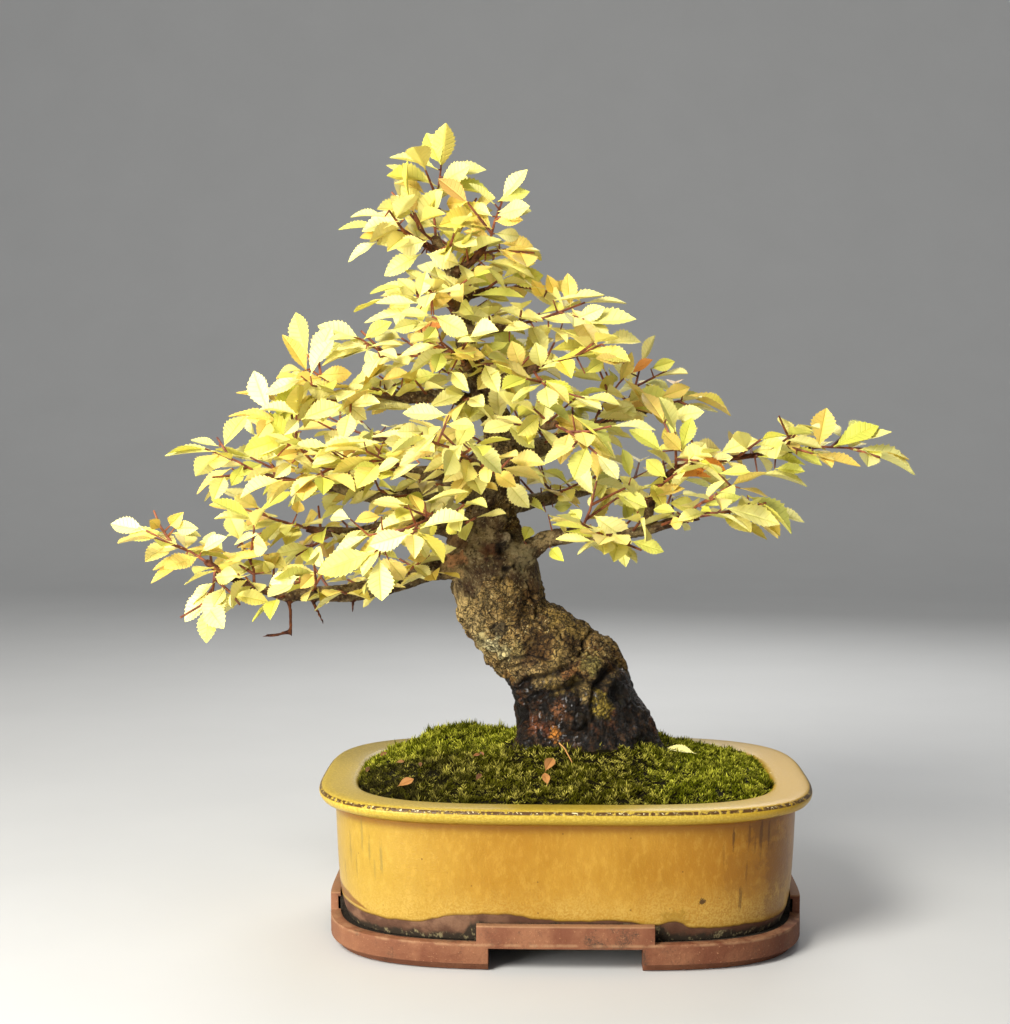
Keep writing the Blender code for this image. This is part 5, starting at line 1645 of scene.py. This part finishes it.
def in_gap(matrix, length):
    """Whether the leaf's middle or its tip is seen in one of the gaps."""
    for share, margin in ((0.55, 0.0), (0.95, 1.5)):
        x, z = as_seen(matrix @ Vector((share * length, 0, 0)))
        if any(math.hypot(x - gap_x, z - gap_z) < radius - margin for gap_x, gap_z, radius in GAPS):
            return True
    return False


# %% Sprays
LEAF_COPY_SEED = 11
SHOOT_THINNER = 0.66
# How many leaves of a spray, from its tip, are in the CAD model too.
CAD_LEAVES = 3
# Leaves that have already turned orange brown stand nearest to these points.
BROWN_SPOTS = ((22, 40, 229), (-62, 2, 241), (58, -20, 186))
BROWN_REACH = 9.0


def leaf_tint(draw, tip):
    """How green, how golden and how brown one leaf is."""
    if any((tip - Vector(spot)).length < BROWN_REACH for spot in BROWN_SPOTS):
        return 0.0, 1.0, 0.85
    green, gold = draw.random() ** 1.6, 0.8 * draw.random() ** 3.0
    return green, gold, 0.0 if draw.random() < 0.96 else draw.uniform(0.15, 0.5)


def grow_spray(name, shoots, leaves, draw, *nodes):
    """A piece of young shoots with their leaves, and how many leaves it has."""
    spray = tubes(name, shoots, 1, SHOOT_THINNER)
    copies = []
    for index, (matrix, length, width) in enumerate(leaves):
        kind, tint = draw.randrange(len(leaf_kinds)), leaf_tint(draw, matrix @ Vector((length, 0, 0)))
        free = (index < CAD_LEAVES and nodes) or not in_gap(matrix, length)
        if free and not in_wood(matrix, length):
            copies.append((kind, matrix, length, width, tint))
    add_copies(spray, copies)
    finish_piece(spray, name, "leaf", [young_bark, autumn_leaf], *nodes)
    return len(copies)


draw = random.Random(LEAF_COPY_SEED)
leaf_count = sum(grow_spray("spray_" + name, shoots, leaves, draw, name) for name, shoots, leaves in plans)
print(leaf_count, "leaves on the sprays")


# %% [markdown]
# ## The leaves that stand out
#
# Random leaves give the right mass, but the crown is known by its outermost leaves. These were measured in
# the view, in millimetres at the pot's middle depth: where each leaf starts and ends, and how wide it
# looks. A leaf that looks narrow is seen edge on, so its width says how far it is turned. Each grows from
# the shoot or branch that passes nearest to its foot, on a thin stalk, and takes that shoot's depth.

# %% Leaves as seen
# Each leaf's foot and tip as seen, x and z, and how wide it looks.
LEAVES_AS_SEEN = {
    "lemon": (
        (-52, 311, -71, 319, 4), (-50, 308, -33, 313, 6), (-52, 304, -73, 314, 5), (-29, 297, -40, 305, 3),
        (-30, 292, -40, 297, 5), (-51, 295, -35, 287, 5), (-53, 288, -66, 292, 7), (-74, 292, -88, 294, 3),
        (-66, 291, -84, 288, 7), (-66, 295, -72, 300, 7), (-57, 298, -67, 303, 6), (-77, 282, -90, 275, 4),
        (-66, 286, -75, 281, 7), (-59, 277, -75, 269, 8), (-44, 273, -38, 266, 3), (-33, 274, -12, 270, 4),
        (-61, 259, -75, 264, 8), (-60, 257, -78, 256, 4), (-60, 254, -83, 250, 4), (-60, 249, -71, 246, 6),
        (-87, 243, -97, 243, 2), (-82, 238, -101, 234, 4), (-81, 239, -67, 241, 2), (-82, 238, -78, 231, 6),
        (-77, 237, -70, 236, 2), (-105, 227, -98, 243, 6), (-108, 229, -117, 230, 2),
        (-108, 226, -124, 220, 6), (-105, 223, -114, 216, 5), (-94, 220, -106, 222, 9),
        (-92, 221, -71, 230, 5), (-110, 211, -126, 216, 4), (-109, 209, -93, 216, 8),
        (-93, 218, -82, 209, 8), (-60, 213, -82, 216, 6), (-33, 272, -24, 263, 3), (-36, 260, -23, 257, 4),
        (-37, 261, -44, 272, 4), (-5, 258, 16, 259, 3), (3, 249, 29, 249, 7), (-2, 246, 11, 241, 3),
        (-7, 247, 1, 243, 2), (-12, 249, -27, 254, 4), (-11, 230, 6, 232, 4), (-10, 230, -12, 240, 8),
        (-27, 208, -28, 225, 9), (-25, 208, -12, 198, 8), (8, 218, 23, 217, 4), (-47, 213, -33, 211, 8),
        (-57, 214, -42, 221, 7), (-48, 211, -67, 211, 7), (-54, 252, -40, 244, 9), (-55, 252, -68, 252, 4),
        (-55, 249, -68, 245, 5), (-52, 240, -68, 236, 4), (-47, 253, -29, 251, 7), (-47, 229, -41, 222, 5),
        (-33, 241, -44, 242, 2), (-11, 206, -2, 197, 4), (-53, 203, -62, 197, 4), (-42, 199, -51, 191, 8),
        (-47, 189, -38, 185, 7), (-41, 200, -25, 188, 8), (-63, 161, -55, 152, 5), (-58, 175, -40, 181, 2),
        (-60, 177, -46, 182, 2), (-60, 183, -50, 188, 2), (-2, 182, 14, 189, 3), (-7, 170, 1, 164, 2),
        (12, 159, -4, 159, 4), (-144, 196, -166, 196, 4), (-143, 198, -155, 200, 3),
        (-129, 167, -145, 171, 4), (-116, 167, -141, 162, 4), (-63, 168, -80, 164, 4),
        (-77, 152, -76, 134, 11), (-105, 156, -121, 154, 6), (-129, 137, -151, 126, 5),
        (-141, 139, -146, 132, 4), (-145, 142, -158, 132, 4), (-164, 162, -151, 160, 3),
        (-162, 164, -154, 164, 4), (-151, 154, -142, 161, 4), (-126, 162, -138, 158, 3),
        (-122, 146, -124, 149, 4), (-65, 174, -79, 175, 3), (-95, 196, -115, 200, 4),
        (-83, 200, -105, 197, 3), (-75, 200, -94, 195, 4), (-90, 190, -100, 189, 3),
        (-93, 193, -104, 192, 4), (-115, 195, -100, 188, 5), (-119, 194, -126, 196, 4),
        (-60, 191, -73, 185, 4), (-79, 187, -68, 192, 4), (-109, 204, -115, 201, 4),
        (-115, 199, -131, 195, 5), (118, 197, 145, 192, 4), (110, 198, 134, 203, 5), (77, 196, 93, 198, 8),
        (63, 195, 79, 202, 8), (50, 191, 58, 200, 9), (42, 210, 57, 212, 7), (79, 187, 100, 185, 3),
        (52, 187, 70, 181, 7), (65, 173, 89, 167, 8), (68, 168, 84, 161, 4), (23, 160, 25, 149, 6),
        (46, 169, 36, 169, 3), (58, 171, 47, 169, 4), (32, 177, 23, 186, 5), (33, 175, 23, 182, 3),
        (45, 189, 35, 198, 3),
    ),
    "greenish": (
        (-51, 313, -57, 326, 9), (-50, 303, -30, 304, 5), (-28, 298, -15, 303, 6), (-52, 287, -37, 278, 6),
        (-24, 266, -9, 268, 9), (-83, 242, -72, 250, 6), (-24, 267, -9, 268, 8), (-38, 260, -17, 261, 4),
        (-5, 233, 17, 239, 4), (-23, 210, -14, 228, 8), (-11, 216, 3, 210, 4), (3, 211, 22, 197, 4),
        (35, 230, 45, 233, 6), (8, 228, 15, 233, 5), (-53, 247, -57, 242, 6), (-51, 237, -53, 230, 7),
        (-52, 228, -68, 225, 7), (-23, 241, -33, 236, 4), (-24, 181, -18, 177, 5), (-8, 171, -18, 178, 4),
        (-10, 188, 2, 185, 3), (-5, 173, 2, 174, 4), (2, 172, 6, 169, 2), (-17, 159, -14, 166, 6),
        (0, 163, 13, 162, 3), (-6, 156, -2, 152, 5), (-133, 190, -138, 182, 6), (-86, 183, -115, 183, 4),
        (-129, 168, -147, 175, 5), (-128, 170, -113, 180, 4), (-79, 154, -103, 146, 11),
        (-70, 193, -86, 192, 4), (-76, 189, -87, 189, 5), (110, 198, 128, 208, 9), (79, 194, 99, 193, 4),
        (48, 197, 52, 210, 7), (40, 196, 27, 206, 7), (86, 189, 98, 189, 5), (63, 187, 76, 187, 4),
        (75, 178, 96, 166, 5), (56, 173, 72, 179, 6), (46, 171, 36, 173, 4), (27, 159, 41, 155, 6),
        (61, 170, 55, 173, 5), (27, 185, 23, 197, 5), (24, 177, 26, 168, 4), (42, 185, 33, 193, 7),
        (43, 183, 37, 182, 5),
    ),
    "golden": (
        (-57, 301, -69, 308, 3), (-29, 290, -18, 291, 5), (-30, 287, -42, 292, 4), (-27, 281, -12, 280, 6),
        (-30, 283, -42, 287, 4), (-55, 294, -65, 301, 7), (-74, 284, -84, 284, 3), (-28, 279, -19, 274, 3),
        (-40, 298, -50, 297, 6), (-106, 228, -115, 245, 7), (-109, 227, -119, 227, 2),
        (-102, 227, -88, 228, 8), (-114, 215, -135, 223, 3), (-119, 210, -139, 213, 3),
        (-119, 209, -131, 210, 6), (-67, 226, -60, 223, 7), (-76, 225, -65, 229, 4), (-9, 259, -13, 265, 6),
        (-4, 260, -7, 267, 5), (2, 255, 1, 269, 7), (-18, 230, -22, 241, 8), (-8, 225, 2, 217, 5),
        (24, 226, 35, 214, 4), (24, 232, 13, 235, 4), (-47, 236, -33, 236, 6), (-60, 258, -47, 259, 7),
        (-49, 207, -38, 207, 4), (-3, 207, 11, 197, 4), (-56, 153, -64, 152, 4), (-37, 183, -28, 181, 2),
        (-6, 182, -19, 191, 5), (-10, 181, 7, 175, 2), (-138, 192, -149, 192, 6), (-138, 189, -154, 180, 4),
        (-122, 209, -126, 203, 8), (-111, 170, -110, 176, 4), (-73, 151, -66, 142, 7),
        (-104, 145, -109, 140, 6), (-123, 153, -142, 152, 4), (-159, 149, -173, 142, 4),
        (-158, 151, -172, 148, 4), (-164, 165, -160, 169, 4), (-168, 164, -172, 167, 4),
        (-158, 155, -141, 156, 3), (-136, 156, -122, 158, 4), (-135, 153, -147, 149, 5),
        (-76, 169, -86, 168, 4), (-61, 176, -73, 172, 4), (-110, 196, -117, 194, 4),
        (104, 198, 107, 214, 11), (101, 195, 121, 189, 4), (95, 195, 93, 204, 7), (48, 196, 40, 204, 7),
        (48, 219, 69, 215, 3), (39, 218, 51, 223, 7), (72, 181, 84, 178, 2), (33, 177, 49, 182, 5),
        (43, 166, 48, 167, 3), (34, 215, 42, 207, 5), (35, 213, 24, 218, 5), (35, 214, 26, 225, 3),
    ),
    "cream": (
        (-28, 294, -14, 295, 6), (-29, 285, -18, 284, 6), (-57, 282, -69, 279, 9), (-57, 277, -44, 273, 9),
        (-83, 240, -94, 239, 3), (-92, 221, -81, 221, 6), (-110, 209, -115, 204, 5),
        (-70, 224, -76, 224, 4), (-40, 259, -50, 269, 4), (4, 250, 16, 255, 7), (-13, 247, -25, 247, 4),
        (-60, 259, -57, 270, 7), (-61, 260, -68, 266, 7), (-59, 204, -68, 204, 8), (-60, 164, -41, 171, 6),
        (-61, 163, -54, 161, 3), (-63, 149, -56, 145, 3), (-64, 162, -81, 157, 9),
        (-110, 144, -123, 141, 8), (-89, 162, -100, 157, 2), (-159, 156, -172, 154, 4),
        (-132, 147, -138, 149, 6), (-89, 168, -98, 170, 4), (-113, 191, -119, 186, 4),
        (-63, 197, -68, 192, 6), (-66, 200, -74, 200, 5), (58, 191, 68, 194, 5),
    ),
    "brown": (
        (27, 228, 35, 234, 4),
    ),
}
# How green, golden and brown each tone is.
SEEN_TINTS = {"lemon": (0.25, 0.05, 0.0), "greenish": (0.85, 0.0, 0.0), "golden": (0.05, 0.8, 0.0),
              "cream": (0.0, 0.0, 0.0), "brown": (0.0, 1.0, 0.85)}


# %% From the view to the crown
TRUE_WIDTH_SHARE = 0.52
LEAST_LENGTH = 13.0
BEFORE_WOOD = 3.0


def carrier_of(x0, z0, carriers):
    """The point of wood or of a shoot that is seen nearest to x0 and z0, rather in front than behind."""
    def cost(carrier):
        return math.hypot(carrier[0] - x0, carrier[1] - z0) + 0.10 * carrier[2].y
    return min(carriers, key=cost)


def leaf_as_seen(row, carriers, draw):
    """The stalk and the (frame, length, width) of a leaf that was measured in the view."""
    x0, z0, x1, z1, wide = row
    x, z, carrier = carrier_of(x0, z0, carriers)
    depth = carrier.y - min(4.0, 0.5 * math.hypot(x - x0, z - z0)) - 0.5
    for x, z in ((x0, z0), ((x0 + x1) / 2, (z0 + z1) / 2)):
        hit = hit_from_eye(wood_tree, x, z)
        if hit:
            depth = min(depth, measured(hit).y - BEFORE_WOOD)
    root, tip = at_depth((x0, z0, depth)), at_depth((x1, z1, depth))
    towards = (EYE - root).normalized()
    seen_length = (tip - root).length
    if seen_length < LEAST_LENGTH:
        tip += towards * math.sqrt(LEAST_LENGTH ** 2 - seen_length ** 2) * draw.choice((0.8, 0.8, -0.8))
    along = (tip - root).normalized()
    across = along.cross(towards).normalized()
    across = across if across.z > 0 else -across
    open_share = min(1.0, wide / seen_length / TRUE_WIDTH_SHARE)
    face = (towards - along * towards.dot(along)).normalized() * open_share
    face += across * math.sqrt(1 - open_share ** 2)
    length = (tip - root).length
    stalk = bowed_shoot(carrier, root, draw)
    return stalk, (leaf_frame(root, along, face), length, max(wide, TRUE_WIDTH_SHARE * length))


# %% Growing the leaves as seen
STALK_THINNER = 0.42
draw = random.Random(LEAF_COPY_SEED + 2)
carrying = [shoot for _, shoots, _ in plans for shoot in shoots] + [smooth_line(TRUNK[-4:], THICK_STEP)]
carrying += [split_young(line)[0] for line in branch_lines.values()]
carriers = [(*as_seen(point), point) for line in carrying for point, _ in samples(line, 3.0)]
stalks, seen_copies = [], []
for tone, rows in LEAVES_AS_SEEN.items():
    green, gold, brown = SEEN_TINTS[tone]
    for row in rows:
        stalk, (matrix, length, width) = leaf_as_seen(row, carriers, draw)
        stalks.append(stalk)
        tint = (clamped(green + draw.uniform(-0.15, 0.15)), clamped(gold + draw.uniform(-0.1, 0.1)), brown)
        seen_copies.append((draw.randrange(len(leaf_kinds)), matrix, length, width, tint))
seen_leaves = tubes("leaves_as_seen", stalks, 1, STALK_THINNER)
add_copies(seen_leaves, seen_copies)
finish_piece(seen_leaves, "leaves_as_seen", "leaf", [young_bark, autumn_leaf])
print(len(seen_copies), "leaves as seen, on stalks up to", round(max(map(line_length, stalks)), 1), "mm long")


# %% [markdown]
# ## Short spurs inside the crown
#
# An old branch carries short spurs along its whole length, each with a few leaves. They fill the
# crown's inside and hide most of the wood. They stand to the two sides of the branch in turn and reach
# upwards. On the upright leader they go round it instead. The branches stay bare near the trunk, where
# little light comes in.

# %% Spurs
SPUR_SPACING = 6.0
SPUR_LENGTH = (7.0, 17.0)
SPUR_LEAF_SPACING = 4.2
SPUR_LEAF_SIZE = 0.88
GOLDEN_TURN = math.radians(137.5)
# How far along its wood a branch stays bare, where it isn't the usual share.
BARE_SHARE = {"leader": 0.18, "low_left": 0.16, "low_right": 0.30, "long_right": 0.15, "front_low": 0.40,
              "back_low": 0.35, "back_low_right": 0.30}
USUAL_BARE_SHARE = 0.22


def spur_direction(forward, index, draw):
    """Which way a spur stands on wood that runs this way."""
    up = Vector((0, -0.15, 1))
    level = up - forward * up.dot(forward)
    if level.length < 0.6:
        away = forward.orthogonal().normalized()
        return Matrix.Rotation(index * GOLDEN_TURN, 3, forward) @ away + forward * draw.uniform(0.1, 0.8)
    level.normalize()
    side = Matrix.Rotation(math.radians((-1) ** index * draw.uniform(40, 85)), 3, level) @ forward
    return side + level * draw.uniform(0.0, 0.8)


def branch_spurs(name, draw):
    """The spurs of one branch and their leaves."""
    firm, _ = split_young(branch_lines[name])
    length = line_length(firm)
    distance = BARE_SHARE.get(name, USUAL_BARE_SHARE) * length
    shoots, leaves = [], []
    while distance < length:
        row, after = point_along(firm, distance)
        root = Vector(row[:3])
        direction = spur_direction(heading(firm, after), len(shoots), draw).normalized()
        end = root + direction * (row[3] + draw.uniform(*SPUR_LENGTH))
        shoot = bowed_shoot(root, end, draw)
        leaves += [(matrix, SPUR_LEAF_SIZE * size, SPUR_LEAF_SIZE * width) for matrix, size, width
                   in shoot_leaves(len(shoots), shoot, away_from_trunk(end), draw, SPUR_LEAF_SPACING)]
        shoots.append(shoot)
        distance += SPUR_SPACING * draw.uniform(0.7, 1.3)
    return shoots, leaves


draw = random.Random(LEAF_COPY_SEED + 1)
leaf_count = sum(grow_spray("spurs_" + name, *branch_spurs(name, draw), draw) for name in branch_lines)
print(leaf_count, "leaves on the spurs")


# %% [markdown]
# ## Moss
#
# The moss is a mat of tiny shoots over a soft mound, high at the back left and round the trunk. Seen from
# above each shoot is a small star of pointed leaflets. It could be a hair system, but that doesn't travel
# well, so each star is eight narrow spikes of four faces each, on a dark mound that shows between them. The
# mound and the spikes' feet are near black, partly as soil and old stems and partly as painted shade deep in
# the mat.

# %% The mound
MOSS_RIM_TOP = 63.4
MOSS_EDGE = 84.0
TRUNK_FOOT_X = 8.5
TRUNK_FOOT_RADIUS = 26.0


def heap(x, y, middle_x, middle_y, spread):
    """1 at the middle of a soft heap, falling off all round."""
    return math.exp(-((x - middle_x) ** 2 + (y - middle_y) ** 2) / spread)


def from_trunk(x, y):
    return math.hypot(x - TRUNK_FOOT_X, y)


def moss_surface(x, y):
    """How high the moss stands: low at the rim, high round the trunk, with humps and small cushions."""
    across = (abs(x / 85) ** 2.6 + abs(y / 61) ** 2.6) ** (1 / 2.6)
    height = MOSS_RIM_TOP + 12.5 * (1 - min(1.0, across) ** 1.7)
    height += 6.0 * heap(x, y, -46, 30, 420) + 4.0 * heap(x, y, 26, 34, 260)
    height += 5.0 * math.exp(-(max(0.0, from_trunk(x, y) - TRUNK_FOOT_RADIUS) / 9) ** 2)
    cushions = 1.3 * noise.noise(Vector((x, y, 0)) / 9.0) + 0.9 * noise.noise(Vector((x, y, 7)) / 3.5)
    inside = clamped((MOSS_EDGE + 0.5 - plan_reach(x, y)) / 4)
    return height - 0.6 + cushions * inside - 1.6 * (1 - inside)


MOUND_ROWS = [(MOSS_EDGE - 0.4, 58.0)] + [(MOSS_EDGE - 0.4 - 4.0 * i, 60.0) for i in range(15)]
mound = oval_body(MOUND_ROWS, 120)
for vertex in mound.data.vertices:
    if vertex.co.z > 1.0 * MM:
        x, y, _ = measured(mound.matrix_world @ vertex.co)
        vertex.co.z = moss_surface(x, y) * MM - mound.location.z
pick_only(mound)
bpy.ops.object.shade_smooth()


# %% Moss finish
def moss_finish():
    made, tree, shader, where = new_finish("green_moss")
    x, y, _ = parts(where)
    tone = attribute(tree, "tone")
    bright = blend(step_up(tone, 0.15, 0.95), (108, 114, 8), (228, 226, 78))
    dull = blend(step_up(tone, 0.30, 1.0), (92, 90, 10), (222, 210, 96))
    back = step_up(y + clouds(where, 20.0) * 60.0, 12.0, 38.0)
    right = step_up(x + clouds(where, 16.0) * 40.0, 40.0, 74.0)
    top = blend(larger(back, right), dull, bright)
    left = step_up(distance(where, (-68.0, -36.0, 66.0)), 44.0, 16.0)
    dirty = left * step_up(clouds(where, 4.0, 4.0), 0.36, 0.54)
    top = blend(dirty * 0.85, top, (36, 30, 16))
    clump = step_up(clouds(where, 5.0), 0.34, 0.56)
    top = blend((1.0 - clump) * 0.5, top, (36, 34, 6))
    # The feet of the spikes, and the mound under them, go near black: partly soil and old stems, partly
    # painted shade deep in the mat.
    base = blend(step_up(attribute(tree, "tip"), 0.0, 0.85), (20, 17, 4), top)
    feed(shader, Base_Color=base, Roughness=0.8, Specular_IOR_Level=0.06,
         Normal=bump(clouds(where, 0.8), 0.3))
    return made


# %% Moss shoots
STAR_SPREAD = 1.65
STAR_SPIKES = 8
STAR_FACES = ((0, 1, 2), (0, 3, 1), (1, 3, 2), (2, 3, 0))


def moss_star(foot, height, turn, draw):
    """The corners of one star's spikes: three round the heart and one at the tip of each."""
    points = []
    for k in range(STAR_SPIKES):
        turn += 0.38 * math.tau + draw.uniform(-0.3, 0.3)
        away = Vector((math.cos(turn), math.sin(turn), 0))
        side = Vector((-away.y, away.x, 0)) * 0.34
        rise = height * 0.55 * k / STAR_SPIKES
        heart = foot + Vector((0, 0, rise)) + away * 0.12
        end = foot + away * draw.uniform(1.1, 2.4) * (1.1 - 0.6 * k / STAR_SPIKES)
        end += Vector((0, 0, rise + height * draw.uniform(0.25, 0.7)))
        points += [heart - side, heart + side, heart - Vector((0, 0, 0.8)), end]
    return points


def moss_shoots(name, belongs, seed):
    """The shoots of one part of the mat, each a star of four-faced spikes."""
    draw = random.Random(seed)
    points, tones = [], []
    rows = [(-86 + STAR_SPREAD * i, -62 + STAR_SPREAD * j) for j in range(76) for i in range(106)]
    for x, y in rows:
        x, y = x + draw.uniform(-0.9, 0.9), y + draw.uniform(-0.9, 0.9)
        if not belongs(x, y) or plan_reach(x, y) > MOSS_EDGE - 0.2 or from_trunk(x, y) < TRUNK_FOOT_RADIUS:
            continue
        height = draw.uniform(1.2, 3.2) + 3.0 * max(-0.4, noise.noise(Vector((x, y, 3)) / 6.0))
        height += 1.6 * heap(x, y, -52, 34, 500)
        foot = Vector((x, y, moss_surface(x, y) - 0.5))
        if wood_tree.find_nearest(place(*foot), 0.6 * MM)[0]:
            continue
        tone, turn = draw.random() ** 1.5, draw.uniform(0, 2 * math.pi)
        star = moss_star(foot, height, turn, draw)
        points += star
        tones += [tone] * len(star)
    faces = [tuple(start + v for v in face) for start in range(0, len(points), 4) for face in STAR_FACES]
    mesh = bpy.data.meshes.new(name)
    mesh.from_pydata([place(*p) for p in points], [], faces)
    for label, values in (("tip", [0.15, 0.15, 0.0, 1.0] * (len(points) // 4)), ("tone", tones)):
        mesh.attributes.new(label, "FLOAT", "POINT").data.foreach_set("value", values)
    finish_piece(new_object(name, mesh), name, "moss", [green_moss], "moss")


green_moss = moss_finish()
finish_piece(mound, "moss_mound", "moss", [green_moss], "moss")
moss_shoots("moss_shoots_front", lambda x, y: y < 0, 3)
moss_shoots("moss_shoots_back", lambda x, y: y >= 0, 4)


# %% [markdown]
# ## Fallen leaves and litter
#
# Four leaves have fallen on the moss and stay where the CAD model lays them. They are copies of the same
# blade, and they lie tilted on the tips of the shoots. Scraps of bark, for which small blades serve too, and
# two stalks of straw lie between them. Each scrap and stalk is placed where it is seen, on the moss.

# %% Leaves on the moss
# Fallen leaves: where they lie, which way they point, length, and how far they tilt to the front.
FALLEN = (
    ("fallen_leaf_yellow", 54, -8, 160, 13.0, 0.3), ("fallen_leaf_brown_1", -8, -42, 75, 8.5, 0.9),
    ("fallen_leaf_brown_2", -7, -53, 100, 6.5, 0.8), ("fallen_leaf_brown_3", -66, -45, 40, 7.5, 0.7),
)
LEAF_LIFT = 2.6


def flat_leaf(root, turn, tilt):
    """The frame of a leaf that lies on the moss, its face tilted to the front."""
    direction = Matrix.Rotation(math.radians(turn), 3, "Z") @ Vector((1, 0, 0))
    face = Vector((0.1, -tilt, 1)).normalized()
    return leaf_frame(root, (direction - face * direction.dot(face)), face)


for kind, (name, x, y, turn, length, tilt) in enumerate(FALLEN):
    lying = flat_leaf(Vector((x, y, moss_surface(x, y) + LEAF_LIFT)), turn, tilt)
    slot, finish, tint = "dry_leaf", dry_leaf, (0.2, 0.5, 0.15)
    if "yellow" in name:
        slot, finish, tint = "leaf", autumn_leaf, (0, 0.1, 0)
    blade = new_object(name, bpy.data.meshes.new(name))
    add_copies(blade, [(kind, lying, length, length * 0.55, tint)])
    finish_piece(blade, name + "_blade", slot, [young_bark, finish], name)


# %% Scraps and stalks
# Scraps of bark: x and z as seen, which way they point, and length. Stalks: x and z as seen at both ends.
SCRAPS = (
    (-37.0, 56.5, 70, 4.5), (-83.0, 59.5, 80, 4.0), (-69.5, 72.4, 20, 3.6), (-38.4, 66.9, 30, 3.4),
    (-33.5, 66.9, 120, 3.0), (-77.3, 66.7, 50, 4.0), (-60.0, 62.0, 100, 3.0),
)
STALKS = (((-5.3, 82.6), (-11.6, 75.2)), ((-3.9, 74.0), (3.2, 64.1)))
moss_ground = surface_of(mound)
stalk_lines = []
for ends in STALKS:
    a, b = (seen_on(moss_ground, *seen) + Vector((0, 0, 2.2)) for seen in ends)
    stalk_lines.append([(*a, 0.3), (*((a + b) / 2 + Vector((0.4, 0, 0.9))), 0.28), (*b, 0.2)])
litter = tubes("litter", stalk_lines, 1)
draw = random.Random(8)
scraps = []
for k, (x, z, turn, length) in enumerate(SCRAPS):
    lying = flat_leaf(seen_on(moss_ground, x, z) + Vector((0, 0, 2.0)), turn, 0.8)
    scraps.append((k % 3, lying, length, 0.5 * length, (0.1, draw.random(), 0.35 + 0.6 * draw.random())))
add_copies(litter, scraps)
finish_piece(litter, "litter", "dry_leaf", [dry_leaf, dry_leaf])
print(len(SCRAPS), "scraps and", len(STALKS), "stalks")


# %% [markdown]
# ## Last step: print the sizes
# The dressed model is meant to fill the same box as the CAD model. Both boxes are printed, in millimetres.

# %% Sizes
visual_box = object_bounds()
boxes = {"cad": [list(corner) for corner in cad_box], "visual": [list(corner) for corner in visual_box]}
for label, (low, high) in boxes.items():
    print(label, "size in mm:", [round((b - a) / MM, 1) for a, b in zip(low, high)])
